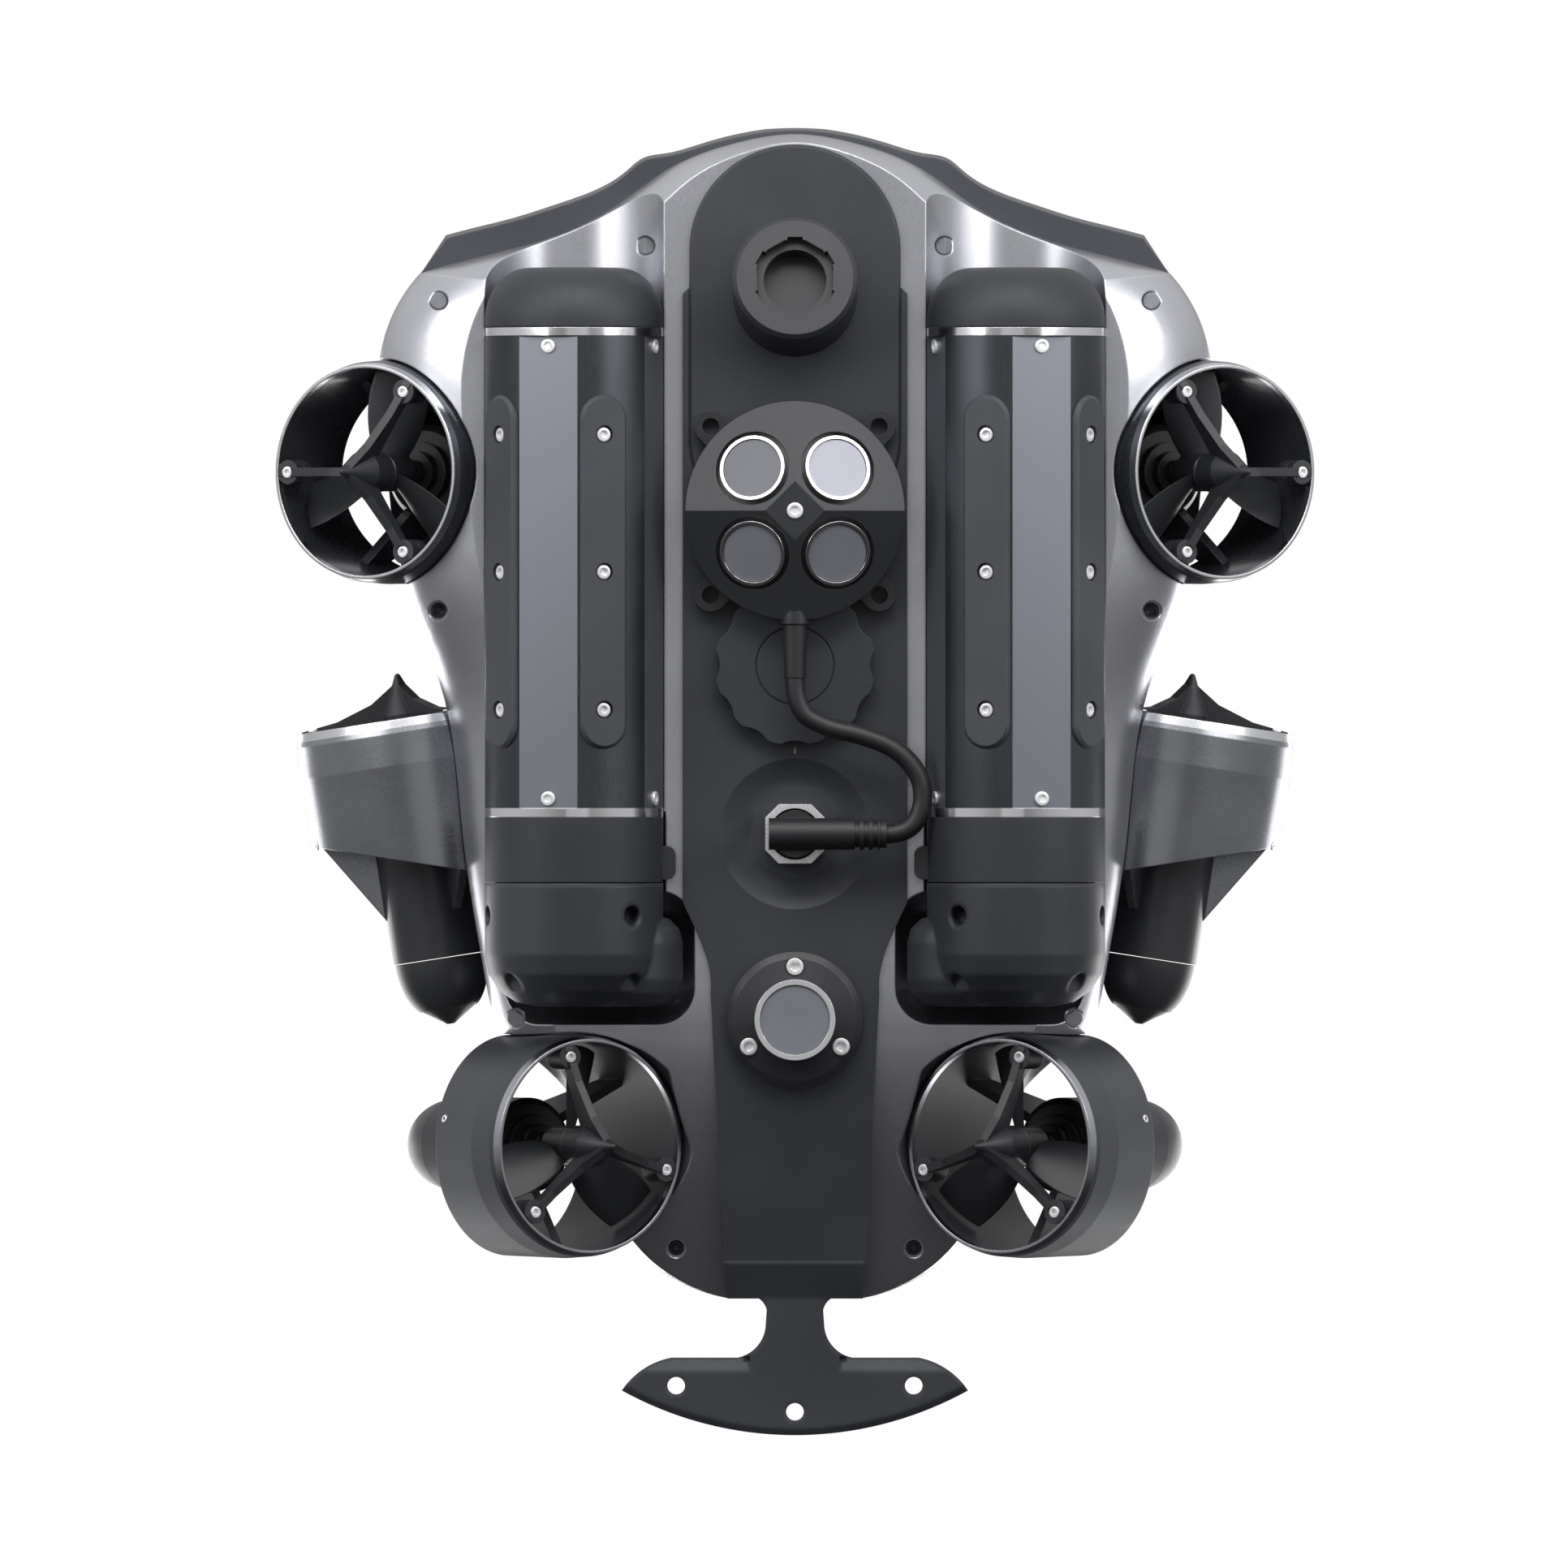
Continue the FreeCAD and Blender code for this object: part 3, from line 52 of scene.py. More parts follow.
# Lengths in metres, angles in degrees, in the row's frame.
CAP_FLAT_R = 0.0147
TUBE_R = 0.0293
TUBE_X = 0.0726
TUBE_Z = 0.03109
CAP_STRAIGHT = 0.0025
RING_BANDS = [(0.1461, 0.1488), (-0.0121, -0.0090)]
FACET_LEAN = 17.5
MOUTH_AHEAD = 0.014
RIM_DEEP = 0.0028
POD_REACH = 0.0163
SIDE_SCREWS = [("rear", 0.1152, -0.1111), ("middle", 0.1577, -0.0216)]
SIDE_SCREW_R = 0.0013
CORD_Z = 0.0189
CORD_R = 0.00315
CORD_ROUTE = [(0, 0.0337), (0, 0.0236), (-0.0095, 0.0176), (-0.0215, 0.0152), (-0.0335, 0.0106),
              (-0.0410, 0.0022), (-0.0424, -0.0066), (-0.0396, -0.0144), (-0.0339, -0.0175),
              (-0.0301, -0.0175)]


# ---------------------------------------------------------------- material nodes

class Nodes:
    """Short names for the nodes that the materials share."""

    def __init__(self, tree):
        self.tree = tree
        self.place = self.new("ShaderNodeTexCoord").outputs["Object"]
        self.facing = self.new("ShaderNodeTexCoord").outputs["Normal"]

    def new(self, kind, **settings):
        node = self.tree.nodes.new(kind)
        for key, value in settings.items():
            setattr(node, key, value)
        return node

    def link(self, source, target):
        if hasattr(source, "links"):
            self.tree.links.new(source, target)
        else:
            target.default_value = source

    def math(self, operation, a, b=0.0):
        node = self.new("ShaderNodeMath", operation=operation)
        self.link(a, node.inputs[0])
        self.link(b, node.inputs[1])
        return node.outputs[0]

    def along(self, vector, axis):
        node = self.new("ShaderNodeVectorMath", operation="DOT_PRODUCT")
        self.link(vector, node.inputs[0])
        node.inputs[1].default_value = axis
        return node.outputs["Value"]

    def ramp(self, value, low, high, to_low=0.0, to_high=1.0):
        node = self.new("ShaderNodeMapRange", interpolation_type="SMOOTHSTEP")
        self.link(value, node.inputs["Value"])
        for name, number in (("From Min", low), ("From Max", high), ("To Min", to_low), ("To Max", to_high)):
            node.inputs[name].default_value = number
        return node.outputs["Result"]

    def noise(self, scale, detail=2.0, stretch=(1, 1, 1)):
        spread = self.new("ShaderNodeMapping")
        self.link(self.place, spread.inputs["Vector"])
        spread.inputs["Scale"].default_value = stretch
        node = self.new("ShaderNodeTexNoise")
        self.link(spread.outputs["Vector"], node.inputs["Vector"])
        node.inputs["Scale"].default_value = scale
        node.inputs["Detail"].default_value = detail
        return node.outputs["Fac"]

    def mix(self, factor, a, b):
        node = self.new("ShaderNodeMix", data_type="RGBA")
        self.link(factor, node.inputs[0])
        self.link(a, node.inputs[6])
        self.link(b, node.inputs[7])
        return node.outputs[2]

    def blend(self, factor, a, b):
        node = self.new("ShaderNodeMix", data_type="FLOAT")
        self.link(factor, node.inputs[0])
        self.link(a, node.inputs[2])
        self.link(b, node.inputs[3])
        return node.outputs[0]


def shade(color, share):
    return tuple(min(1.0, c * share) for c in color[:3]) + (1.0,)


def finish_of(name, color, rough, metal=0.0, grain=2500.0, bump=0.12, vary=0.12, edge=1.6, round_off=0.0003,
              coat=0.0, stretch=(1, 1, 1), bands=()):
    """One surface: base colour with slow variation, fine grain, edges lightened as rubbed wear and as a
    painted highlight, and bands of another finish.
    A band is (mask maker, colour, roughness, metallic)."""
    mat = bpy.data.materials.new(name)
    mat.use_nodes = True
    n = Nodes(mat.node_tree)
    surface = mat.node_tree.nodes["Principled BSDF"]
    cloud = n.noise(28.0, 4.0)
    fine = n.noise(grain, 2.0, stretch)
    tint = n.mix(n.ramp(cloud, 0.3, 0.7), shade(color, 1 - vary), shade(color, 1 + vary))
    bevel = n.new("ShaderNodeBevel", samples=4)
    bevel.inputs["Radius"].default_value = round_off
    true_normal = n.new("ShaderNodeNewGeometry").outputs["True Normal"]
    turned = n.new("ShaderNodeVectorMath", operation="DOT_PRODUCT")
    n.link(bevel.outputs["Normal"], turned.inputs[0])
    n.link(true_normal, turned.inputs[1])
    edges = n.ramp(turned.outputs["Value"], 0.998, 0.93)
    # Edges are lightened by the edge share in patches: partly rubbed wear, partly a painted highlight where
    # edges catch light.
    edge_wear_and_highlight = n.math("MULTIPLY", edges, n.ramp(cloud, 0.35, 0.6, 0.35, 1.0))
    tint = n.mix(edge_wear_and_highlight, tint, shade(color, edge))
    roughness = n.ramp(fine, 0.25, 0.75, max(0.05, rough - 0.06), rough + 0.06)
    metallic = metal
    for mask_of, band_color, band_rough, band_metal in bands:
        mask = mask_of(n)
        tint = n.mix(mask, tint, tuple(band_color) + (1.0,))
        roughness = n.blend(mask, roughness, band_rough)
        metallic = n.blend(mask, metallic, band_metal)
    bumps = n.new("ShaderNodeBump")
    bumps.inputs["Strength"].default_value = bump
    bumps.inputs["Distance"].default_value = 0.0001
    n.link(fine, bumps.inputs["Height"])
    n.link(bevel.outputs["Normal"], bumps.inputs["Normal"])
    n.link(tint, surface.inputs["Base Color"])
    n.link(roughness, surface.inputs["Roughness"])
    n.link(metallic, surface.inputs["Metallic"])
    n.link(bumps.outputs["Normal"], surface.inputs["Normal"])
    surface.inputs["Coat Weight"].default_value = coat
    surface.inputs["Coat Roughness"].default_value = 0.12
    return mat


def slab(axis, low, high):
    """Mask of what lies between two planes square to an axis."""
    def make(n):
        height = n.along(n.place, axis)
        return n.math("MULTIPLY", n.math("GREATER_THAN", height, low), n.math("LESS_THAN", height, high))
    return make


def corner(beyond_y):
    """Mask of what lies on the left side ahead of a line."""
    def make(n):
        ahead = n.math("GREATER_THAN", n.along(n.place, (0, 1, 0)), beyond_y)
        return n.math("MULTIPLY", ahead, n.math("LESS_THAN", n.along(n.place, (1, 0, 0)), 0.0))
    return make


def facets(directions):
    """Mask of what faces one of the directions."""
    def make(n):
        total = 0.0
        for direction in directions:
            total = n.math("MAXIMUM", total, n.math("GREATER_THAN", n.along(n.facing, direction), 0.9995))
        return total
    return make


def near_axis(spot, axis, radius):
    """Mask of what lies within a radius of a line."""
    def make(n):
        gap = n.new("ShaderNodeVectorMath", operation="SUBTRACT")
        n.link(n.place, gap.inputs[0])
        gap.inputs[1].default_value = spot
        across = n.new("ShaderNodeVectorMath", operation="CROSS_PRODUCT")
        n.link(gap.outputs["Vector"], across.inputs[0])
        across.inputs[1].default_value = axis
        reach = n.new("ShaderNodeVectorMath", operation="LENGTH")
        n.link(across.outputs["Vector"], reach.inputs[0])
        return n.math("LESS_THAN", reach.outputs["Value"], radius)
    return make


def lens_finish(name):
    mat = bpy.data.materials.new(name)
    mat.use_nodes = True
    n = Nodes(mat.node_tree)
    surface = mat.node_tree.nodes["Principled BSDF"]
    n.link(n.mix(n.noise(60.0), (0.02, 0.025, 0.035, 1), (0.05, 0.06, 0.08, 1)), surface.inputs["Base Color"])
    n.link(n.ramp(n.noise(900.0), 0.3, 0.7, 0.03, 0.07), surface.inputs["Roughness"])
    surface.inputs["Coat Weight"].default_value = 1.0
    surface.inputs["Coat Roughness"].default_value = 0.02
    return mat


# ---------------------------------------------------------------- finishes

SILVER = (0.62, 0.625, 0.65)
WHITE_METAL = (0.80, 0.80, 0.82)
shell = finish_of("shell_metal", (0.47, 0.475, 0.51), 0.32, 0.95, grain=4200.0, bump=0.05, vary=0.05,
                  edge=1.5, round_off=0.0008, coat=0.25)
hood = finish_of("hood_dark", (0.055, 0.057, 0.065), 0.34, 0.35, grain=3800.0, bump=0.08,
                 round_off=0.0008, coat=0.2)
visor = finish_of("visor_dark", (0.040, 0.042, 0.050), 0.36, 0.0, grain=3600.0, bump=0.08,
                  round_off=0.0006, coat=0.12)
keel = finish_of("keel_plastic", (0.038, 0.040, 0.047), 0.46, 0.1, grain=3000.0, bump=0.25, round_off=0.0006)
plate = finish_of("plate_plastic", (0.034, 0.036, 0.042), 0.56, 0.15, grain=3000.0, bump=0.22,
                  round_off=0.0005)
black = finish_of("black_plastic", (0.022, 0.023, 0.026), 0.42, 0.0, grain=3200.0, bump=0.18)
housing = finish_of("instrument_black", (0.020, 0.021, 0.024), 0.38, 0.0, grain=3400.0, bump=0.12)
rubber = finish_of("lead_rubber", (0.012, 0.012, 0.014), 0.5, 0.0, grain=2600.0, bump=0.2)
pads = finish_of("pad_rubber", (0.050, 0.053, 0.062), 0.6, 0.0, grain=2000.0, bump=0.4, edge=1.3)
plug = finish_of("plug_grey", (0.24, 0.245, 0.265), 0.45, 0.3, grain=3000.0, bump=0.1)
ring = finish_of("bright_ring", WHITE_METAL, 0.18, 1.0, grain=5000.0, bump=0.04, vary=0.04, edge=1.1)
steel = finish_of("screw_steel", (0.86, 0.86, 0.87), 0.34, 0.35, grain=5000.0, bump=0.05, vary=0.04, edge=1.1)
dark_screw = finish_of("screw_black", (0.03, 0.03, 0.034), 0.35, 0.8, grain=4000.0, bump=0.08)
nut = finish_of("nut_steel", (0.80, 0.80, 0.82), 0.30, 0.7, grain=1600.0, bump=0.08, stretch=(1, 1, 0.1),
                edge=1.2)
# The pale bluish band on the front-left transducer face is a painted reflection; the four faces are otherwise
# alike.
face = finish_of("transducer_grey", (0.17, 0.175, 0.195), 0.36, 0.0, grain=2600.0, bump=0.08, vary=0.06,
                 bands=[(corner(0.0886), (0.52, 0.52, 0.60), 0.3, 0.0)])
eye = finish_of("sonar_face_grey", (0.23, 0.24, 0.27), 0.4, 0.2, grain=2600.0, bump=0.1, vary=0.06)
fin = finish_of("fin_plastic", (0.024, 0.026, 0.031), 0.50, 0.1, grain=3000.0, bump=0.22, round_off=0.0022)
dock = finish_of("dock_plastic", (0.036, 0.038, 0.045), 0.42, 0.15, grain=3000.0, bump=0.2, round_off=0.0024)
knob = finish_of("knob_dark", (0.036, 0.038, 0.044), 0.42, 0.15, grain=2800.0, bump=0.2, round_off=0.0005)
cap = finish_of("battery_cap_dark", (0.022, 0.024, 0.029), 0.56, 0.0, grain=3000.0, bump=0.14,
                round_off=0.0006)
lens = lens_finish("lens_coated")
sonar_dome = finish_of("sonar_black", (0.020, 0.021, 0.024), 0.36, grain=3200.0, bump=0.12,
                       bands=[(slab((0, 0, -1), -0.0262, 0.0), WHITE_METAL, 0.2, 1.0)])


def tube_finish(side):
    """Dark anodised tube with a paler flat, between two polished rings."""
    sign = 1 if side == "right" else -1
    flats = []
    for k in range(4):
        a = math.radians(FACET_LEAN + 90 * k)
        flats.append((sign * math.sin(a), 0.0, -math.cos(a)))
    bands = [(facets(flats), (0.21, 0.22, 0.25), 0.36, 0.7)]
    bands += [(slab((0, 1, 0), low, high), WHITE_METAL, 0.16, 1.0) for low, high in RING_BANDS]
    return finish_of("tube_%s" % side, (0.060, 0.063, 0.072), 0.34, 0.85, grain=2600.0, bump=0.05,
                     stretch=(1, 0.08, 1), bands=bands)


def duct_finish(unit, side):
    """Satin duct with a bright metal band at its mouth, round a dark motor pod. All six are one part: the
    middle ducts' bright silver is a painted highlight, and the rear ducts' darker base and lip are painted
    shade.
    """
    joint = joints["%s_spin_%s" % (unit, side)]
    axis = Vector(joint["axis"])
    mouth = (Vector(joint["pos_m"]) + axis * MOUTH_AHEAD).dot(axis)
    # Painted light in the tones per unit: the middle ducts are painted bright silver and more metallic as a
    # painted highlight, and the rear ducts are painted darker and duller as painted shade.
    base = {"front": (0.062, 0.065, 0.075), "middle": (0.25, 0.255, 0.275),
            "rear": (0.040, 0.042, 0.050)}[unit]
    metal = {"front": 0.55, "middle": 0.95, "rear": 0.1}[unit]
    rough = 0.50 if unit == "rear" else 0.28
    # The rear ducts' dimmer lip is painted shade too.
    lip = (0.34, 0.345, 0.37) if unit == "rear" else SILVER
    pod = (near_axis(joint["pos_m"], tuple(axis), POD_REACH), (0.018, 0.019, 0.023), 0.45, 0.1)
    rim = (slab(tuple(axis), mouth - RIM_DEEP, mouth + 0.002), lip, 0.24, 1.0)
    return finish_of("duct_%s_%s" % (unit, side), base, rough, metal, grain=3600.0, bump=0.06,
                     round_off=0.0006, coat=0.0 if unit == "rear" else 0.2, bands=[rim, pod])


FINISHES = {
    "lower_shell": shell, "upper_shell": hood, "nose_visor": visor, "camera_lens": lens,
    "headlight_lenses": lens, "tether_socket": nut, "keel_cover": keel, "payload_plate": plate,
    "payload_socket": black, "tail_fin": fin,
    "shell_plugs": plug, "shell_screws": dark_screw, "dvl_body": housing, "dvl_transducer_rings": ring,
    "dvl_transducer_faces": face, "dvl_centre_screw": steel, "dvl_strain_relief": rubber, "dvl_lead": rubber,
    "dvl_plug": rubber, "connector_nut": nut, "lock_knob": knob, "sonar_base": sonar_dome, "sonar_face": eye,
    "sonar_screws": steel, "pod_caps": black, "guard_screws": steel,
}
for side in ("right", "left"):
    FINISHES["battery_tube_%s" % side] = tube_finish(side)
    FINISHES["battery_cap_%s" % side] = cap
    FINISHES["battery_collar_%s" % side] = cap
    FINISHES["battery_pads_%s" % side] = pads
    FINISHES["battery_screws_%s" % side] = steel
    FINISHES["battery_latch_%s" % side] = black
    FINISHES["battery_dock_%s" % side] = dock
    for unit in ("front", "middle", "rear"):
        FINISHES["%s_duct_%s" % (unit, side)] = duct_finish(unit, side)
        FINISHES["%s_guard_%s" % (unit, side)] = black
        FINISHES["%s_propeller_%s" % (unit, side)] = black
for name, node in nodes.items():
    node.data.materials.clear()
    node.data.materials.append(FINISHES[name])


# ---------------------------------------------------------------- pieces made here

def piece(name, mesh_maker, finish, body, smooth=35):
    """A mesh built with bmesh, finished, shaded smooth under an angle, and riding on a body."""
    bm = bmesh.new()
    mesh_maker(bm)
    bmesh.ops.recalc_face_normals(bm, faces=bm.faces)
    mesh = bpy.data.meshes.new(name)
    bm.to_mesh(mesh)
    bm.free()
    mesh.materials.append(finish)
    mesh.shade_smooth()
    mesh.set_sharp_from_angle(angle=math.radians(smooth))
    obj = bpy.data.objects.new(name, mesh)
    bpy.context.scene.collection.objects.link(obj)
    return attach(obj, body)


def on_circle(place, radius, angle, height):
    return place @ Vector((radius * math.cos(angle), radius * math.sin(angle), height))


def lathe(bm, profile, steps, place):
    """Turns (radius, height) points about the Z axis of the given matrix."""
    rings = []
    for radius, height in profile:
        if radius < 1e-7:
            rings.append([bm.verts.new(place @ Vector((0, 0, height)))])
            continue
        angles = [2 * math.pi * k / steps for k in range(steps)]
        rings.append([bm.verts.new(on_circle(place, radius, angle, height)) for angle in angles])
    for a, b in zip(rings, rings[1:]):
        for k in range(steps):
            corners = [a[k % len(a)], a[(k + 1) % len(a)], b[(k + 1) % len(b)], b[k % len(b)]]
            unique = list(dict.fromkeys(corners))
            if len(unique) > 2:
                bm.faces.new(unique)


def rounded(radius, height, corner, steps=5):
    """Profile of a round head with a rounded outer edge, from its rim up to its flat."""
    points = [(radius, 0.0)]
    for k in range(steps + 1):
        a = math.pi / 2 * k / steps
        points.append((radius - corner + corner * math.cos(a), height - corner + corner * math.sin(a)))
    return points


def socket_screw(bm, radius, height, place):
    """Screw head with a rounded edge and a real hexagon socket."""
    corner = radius * 0.18
    hexagon = radius * 0.52
    mouth = hexagon * 1.12
    lip = height - hexagon * 0.12
    lathe(bm, [(0, 0)] + rounded(radius, height, corner) + [(mouth, height)], 36, place)
    rim = [bm.verts.new(on_circle(place, mouth, math.pi * k / 18, height)) for k in range(36)]
    top = [bm.verts.new(on_circle(place, hexagon, math.pi * k / 3, lip)) for k in range(6)]
    low = [bm.verts.new(on_circle(place, hexagon * 0.97, math.pi * k / 3, height * 0.4)) for k in range(6)]
    for k in range(6):
        near = rim[6 * k:6 * k + 6] + [rim[(6 * k + 6) % 36]]
        for a, b in zip(near[:3], near[1:4]):
            bm.faces.new([a, b, top[k]])
        bm.faces.new([near[3], top[(k + 1) % 6], top[k]])
        for a, b in zip(near[3:], near[4:]):
            bm.faces.new([a, b, top[(k + 1) % 6]])
        bm.faces.new([top[k], top[(k + 1) % 6], low[(k + 1) % 6], low[k]])
    bm.faces.new(low)


def heads_of(node):
    """Centre of the base, direction and size of each plain round head in a node."""
    bm = bmesh.new()
    bm.from_mesh(node.data)
    bmesh.ops.remove_doubles(bm, verts=bm.verts, dist=1e-6)
    left = set(bm.verts)
    found = []
    while left:
        stack = [left.pop()]
        island = set(stack)
        while stack:
            for e in stack.pop().link_edges:
                for v in e.verts:
                    if v in left:
                        left.discard(v)
                        island.add(v)
                        stack.append(v)
        sums = {}
        for f in {f for v in island for f in v.link_faces}:
            key = tuple(round(c, 2) + 0.0 for c in f.normal)
            area, weighted = sums.get(key, (0.0, Vector()))
            sums[key] = (area + f.calc_area(), weighted + f.calc_center_median() * f.calc_area())
        caps = sorted(sums.items(), key=lambda item: -item[1][0])[:2]
        ends = [(Vector(key).normalized(), weighted / area, area) for key, (area, weighted) in caps]
        found.append(ends)
    bm.free()
    return found


def screw_set(name, node_name, outward, body):
    """Replaces a node's plain heads with socket screws. outward picks each head's free end."""
    def make(bm):
        for ends in heads_of(nodes[node_name]):
            axis, top, area = max(ends, key=lambda end: outward(end[0], end[1]))
            base = min(ends, key=lambda end: outward(end[0], end[1]))[1]
            radius = math.sqrt(area / math.pi)
            place = Matrix.Translation(base) @ axis.to_track_quat("Z", "Y").to_matrix().to_4x4()
            socket_screw(bm, radius, (top - base).length, place)
    finish = nodes[node_name].data.materials[0]
    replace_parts(piece(name, make, finish, body, 30), node_name)


def from_tube(side_sign):
    centre = Vector((side_sign * TUBE_X, 0, TUBE_Z))
    return lambda axis, spot: axis.dot(Vector((spot.x, 0, spot.z)) - centre)


screw_set("socket_screws_sonar", "sonar_screws", lambda axis, spot: -axis.z, "hull")
screw_set("socket_screw_dvl", "dvl_centre_screw", lambda axis, spot: -axis.z, "hull")
screw_set("socket_screws_shell", "shell_screws", lambda axis, spot: -axis.z, "hull")
for side, sign in (("right", 1), ("left", -1)):
    heads = "battery_screws_" + side
    screw_set("socket_screws_battery_" + side, heads, from_tube(sign), "battery_" + side)


def unit_axis(spot):
    """Direction out of the mouth of the thruster nearest to a spot."""
    spins = [j for name, j in joints.items() if "_spin_" in name]
    return Vector(min(spins, key=lambda j: (Vector(j["pos_m"]) - spot).length)["axis"])


screw_set("socket_screws_guard", "guard_screws", lambda axis, spot: axis.dot(unit_axis(spot)), "hull")


def cap_profile():
    """Dome of a battery cap, from its rim to its flat front."""
    low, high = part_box("battery_cap_right")
    depth = high.y - low.y
    points = [(0, 0), (TUBE_R - 0.0004, 0), (TUBE_R, 0.0004)]
    for k in range(19):
        a = math.radians(5 * k)
        radius = CAP_FLAT_R + (TUBE_R - CAP_FLAT_R) * math.cos(a)
        points.append((radius, CAP_STRAIGHT + (depth - CAP_STRAIGHT) * math.sin(a)))
    return points + [(0, depth)]


for side in ("right", "left"):
    low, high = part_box("battery_cap_%s" % side)
    spot = Vector(((low.x + high.x) / 2, low.y, (low.z + high.z) / 2))
    place = Matrix.Translation(spot) @ Matrix.Rotation(-math.pi / 2, 4, "X")
    dome = piece("battery_dome_" + side, lambda bm: lathe(bm, cap_profile(), 128, place), cap,
                 "battery_" + side)
    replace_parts(dome, "battery_cap_" + side)


def frame_of(joint):
    """Matrix of a thruster: origin in its mouth, Z out of the mouth."""
    axis = Vector(joint["axis"])
    mouth = Vector(joint["pos_m"]) + axis * MOUTH_AHEAD
    return Matrix.Translation(mouth) @ axis.to_track_quat("Z", "Y").to_matrix().to_4x4()


def pod_noses(bm):
    """Smooth rear caps of the six motor pods."""
    profile = [(0, -0.0803), (0.01525, -0.0803)]
    for k in range(1, 13):
        a = math.radians(64 * k / 12)
        profile.append((0.0052 + 0.01005 * math.cos(a), -0.0803 - 0.0183 * math.sin(a)))
    profile += [(0.0086, -0.0970), (0.0050, -0.0994), (0.0012, -0.1020), (0, -0.1020)]
    for name, joint in joints.items():
        if "_spin_" in name:
            lathe(bm, profile, 64, frame_of(joint))


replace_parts(piece("pod_noses", pod_noses, black, "hull", 40), "pod_caps")


def duct_side_screws(bm):
    """Small screws let into the ducts' sides near their rear edge."""
    for unit, x, y in SIDE_SCREWS:
        for side, sign in (("right", 1), ("left", -1)):
            duct = nodes["%s_duct_%s" % (unit, side)]
            hit, spot, normal, _ = duct.ray_cast(Vector((x * sign, y, -0.2)), Vector((0, 0, 1)))
            if hit:
                turn = normal.to_track_quat("Z", "Y").to_matrix().to_4x4()
                socket_screw(bm, SIDE_SCREW_R, 0.0007, Matrix.Translation(spot - normal * 0.0004) @ turn)


piece("duct_side_screws", duct_side_screws, steel, "hull", 30)


def index_tick(bm):
    """Small raised index line ahead of the lock knob."""
    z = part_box("keel_cover")[0].z
    for x, y, dz in ((-0.0005, 0.0087, 0), (0.0005, 0.0087, 0), (0.0005, 0.0112, 0), (-0.0005, 0.0112, 0)):
        bm.verts.new((x, y, z + 0.0002 + dz))
    bm.verts.ensure_lookup_table()
    base = bm.faces.new(bm.verts[:])
    grown = bmesh.ops.extrude_face_region(bm, geom=[base])
    lifted = [v for v in grown["geom"] if isinstance(v, bmesh.types.BMVert)]
    bmesh.ops.translate(bm, vec=(0, 0, -0.0003), verts=lifted)
    bmesh.ops.bevel(bm, geom=bm.edges[:], offset=0.00012, segments=2, affect="EDGES")


tick = finish_of("index_white", (0.62, 0.63, 0.65), 0.5, 0.0, grain=3000.0, bump=0.1)
piece("knob_index_tick", index_tick, tick, "hull")

# The lead: a smooth spline on the same route as its solid
curve = bpy.data.curves.new("velocity_log_lead", "CURVE")
curve.dimensions = "3D"
curve.bevel_depth = CORD_R
curve.bevel_resolution = 6
curve.resolution_u = 16
spline = curve.splines.new("NURBS")
spline.points.add(len(CORD_ROUTE) - 1)
for point, (x, y) in zip(spline.points, CORD_ROUTE):
    point.co = (x, y, CORD_Z, 1.0)
spline.order_u = 3
spline.use_endpoint_u = True
curve.materials.append(rubber)
lead = bpy.data.objects.new("velocity_log_lead", curve)
bpy.context.scene.collection.objects.link(lead)
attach(lead, "hull")
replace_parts(lead, "dvl_lead")


# ---------------------------------------------------------------- stage, light and camera

def floor_finish():
    """Pale floor seen from above only. From below it shows nothing, so the underside can be looked at."""
    mat = bpy.data.materials.new("floor_pale")
    mat.use_nodes = True
    n = Nodes(mat.node_tree)
    surface = mat.node_tree.nodes["Principled BSDF"]
    n.link(n.mix(n.noise(3.0), (0.80, 0.80, 0.81, 1), (0.84, 0.84, 0.85, 1)), surface.inputs["Base Color"])
    surface.inputs["Roughness"].default_value = 0.7
    path = n.new("ShaderNodeLightPath").outputs
    behind = n.new("ShaderNodeNewGeometry").outputs["Backfacing"]
    unseen = n.math("MAXIMUM", behind, n.math("MAXIMUM", path["Is Shadow Ray"], path["Is Glossy Ray"]))
    join = n.new("ShaderNodeMixShader")
    n.link(unseen, join.inputs[0])
    n.link(surface.outputs[0], join.inputs[1])
    n.link(n.new("ShaderNodeBsdfTransparent").outputs[0], join.inputs[2])
    n.link(join.outputs[0], mat.node_tree.nodes["Material Output"].inputs["Surface"])
    return mat


floor_mesh = bpy.data.meshes.new("floor")
floor_mesh.from_pydata([(-30, -30, 0), (30, -30, 0), (30, 30, 0), (-30, 30, 0)], [], [(0, 1, 2, 3)])
floor_mesh.materials.append(floor_finish())
floor = bpy.data.objects.new("floor", floor_mesh)
bpy.context.scene.collection.objects.link(floor)

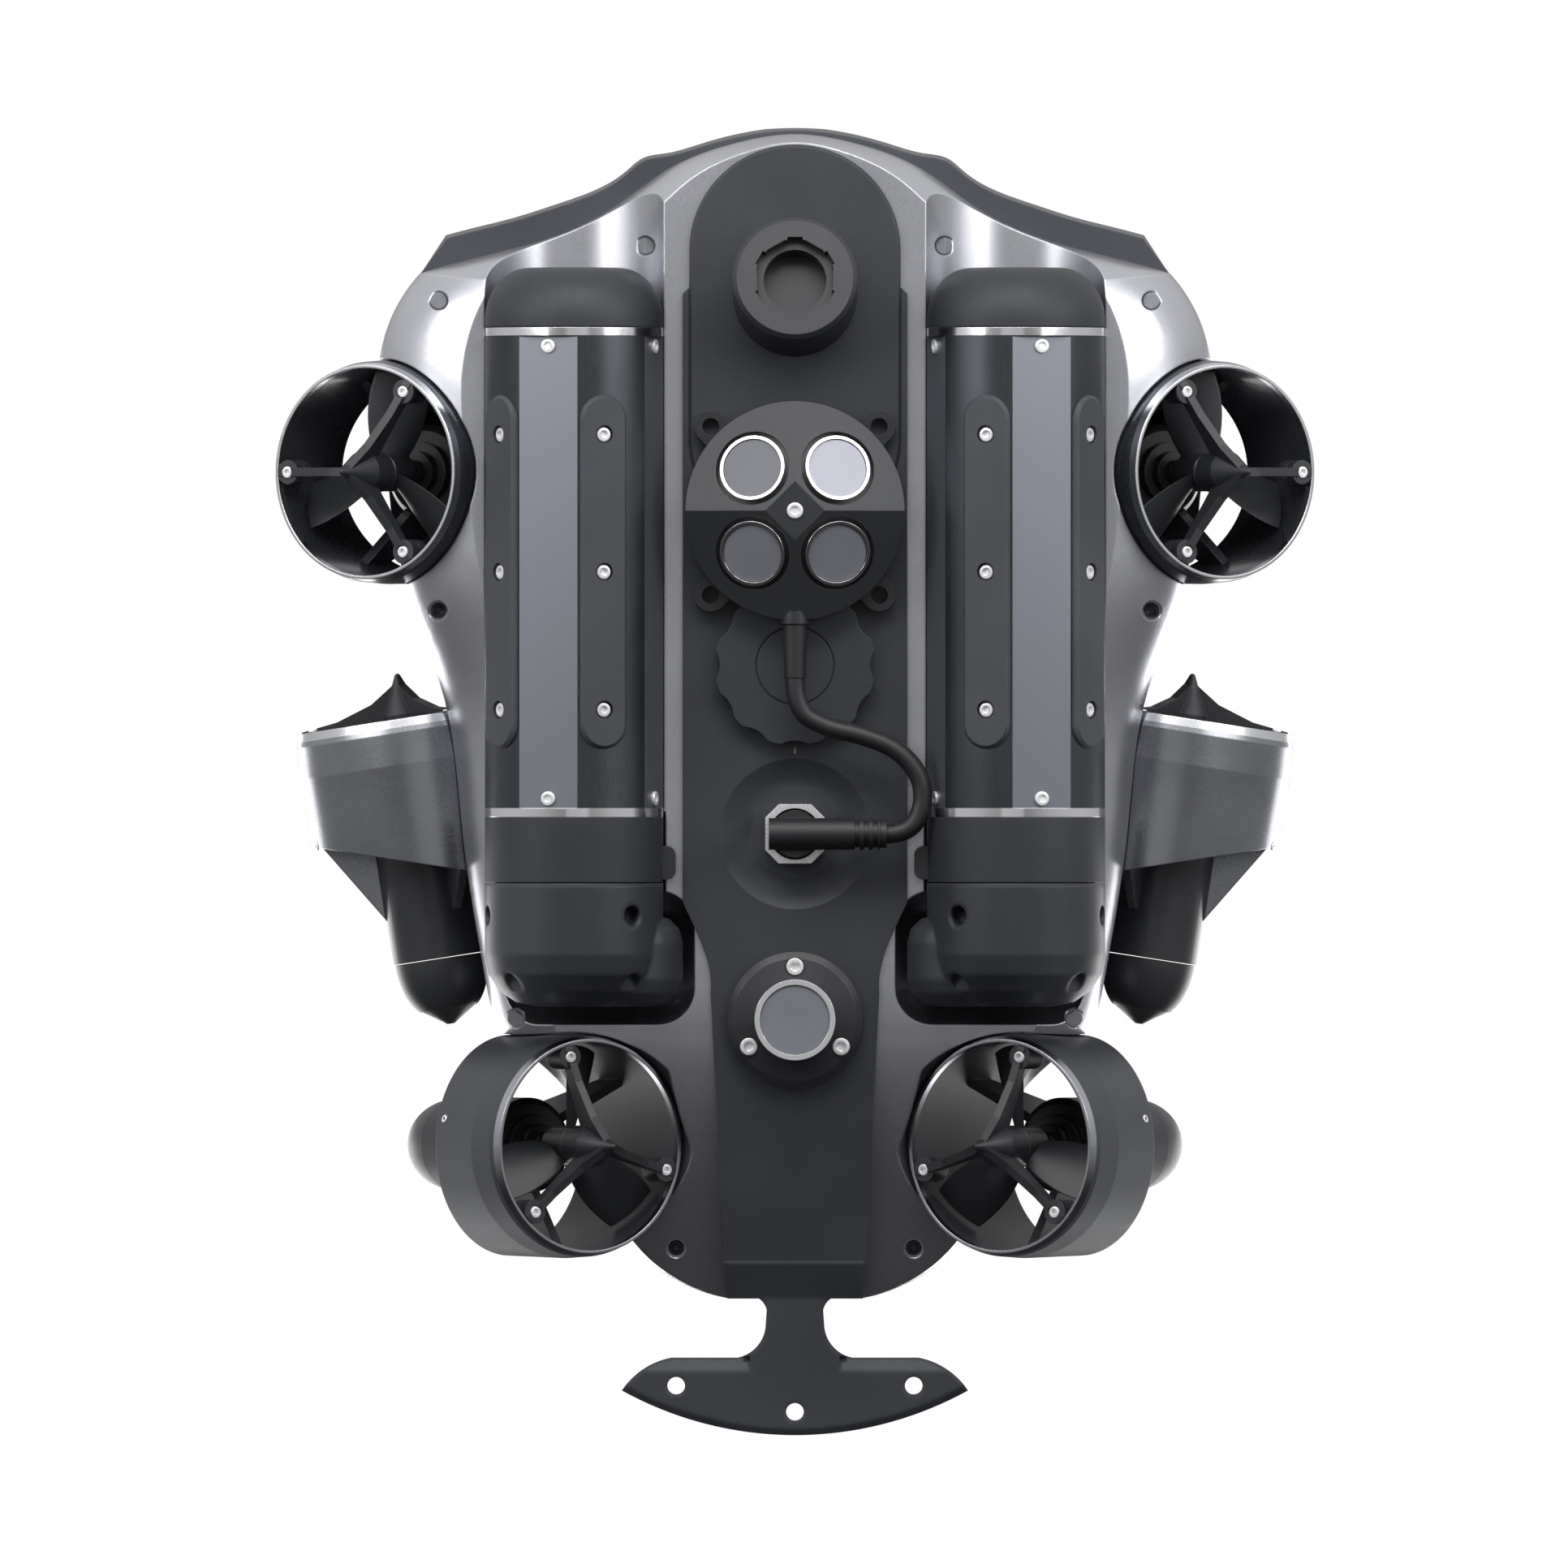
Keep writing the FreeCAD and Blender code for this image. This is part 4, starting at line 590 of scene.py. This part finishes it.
world = bpy.data.worlds.new("studio")
world.use_nodes = True
bpy.context.scene.world = world
w = Nodes(world.node_tree)
path = w.new("ShaderNodeLightPath").outputs
heading = w.new("ShaderNodeTexCoord").outputs["Generated"]
sideways = w.math("ABSOLUTE", w.along(heading, (1.0, 0.0, 0.0)))
forward = w.math("ADD", w.along(heading, (0.0, 1.0, 0.0)), w.math("MULTIPLY", sideways, 0.35))
sweep = w.ramp(forward, -0.3, 0.9, 0.03, 0.90)
seen = w.mix(path["Is Glossy Ray"], (0.24, 0.24, 0.255, 1), (0, 0, 0, 1))
grey = w.new("ShaderNodeCombineColor")
for channel in range(3):
    w.link(sweep, grey.inputs[channel])
lit = w.mix(path["Is Glossy Ray"], seen, grey.outputs[0])
shown = w.mix(w.math("MAXIMUM", path["Is Camera Ray"], path["Is Transmission Ray"]), lit, (1, 1, 1, 1))
w.link(shown, world.node_tree.nodes["Background"].inputs["Color"])


def soft_box(name, spot, aim, size, power):
    data = bpy.data.lights.new(name, "AREA")
    data.shape = "RECTANGLE"
    data.size, data.size_y = size
    data.energy = power
    lamp = bpy.data.objects.new(name, data)
    bpy.context.scene.collection.objects.link(lamp)
    lamp.location = spot
    lamp.visible_camera = False
    lamp.rotation_euler = (Vector(aim) - Vector(spot)).to_track_quat("-Z", "Y").to_euler()


soft_box("below_nose", (0.0, 0.62, -0.50), (0, 0.14, 0.05), (0.9, 0.35), 5.5)
for name, x in (("right", 1), ("left", -1)):
    soft_box("below_" + name, (0.70 * x, 0.34, -0.45), (0, 0.08, 0.05), (0.3, 0.6), 2.6)
    soft_box("above_" + name, (0.9 * x, -0.5, 1.5), (0, 0, 0.05), (1.2, 1.2), 16.0)

soft_box("below_middle", (0.0, 0.0, -0.80), (0, 0, 0.05), (0.42, 0.5), 0.2)

camera_data = bpy.data.cameras.new("camera")
camera_data.lens = 1000.0
camera_data.sensor_width = 36.0
camera_data.clip_start = 0.1
camera_data.clip_end = 200.0
camera = bpy.data.objects.new("camera", camera_data)
camera.location = (0.0036, -0.0011, -14.28)
camera.rotation_euler = (0, math.pi, 0)
bpy.context.scene.collection.objects.link(camera)
bpy.context.scene.camera = camera
bpy.context.scene.view_settings.view_transform = "Standard"
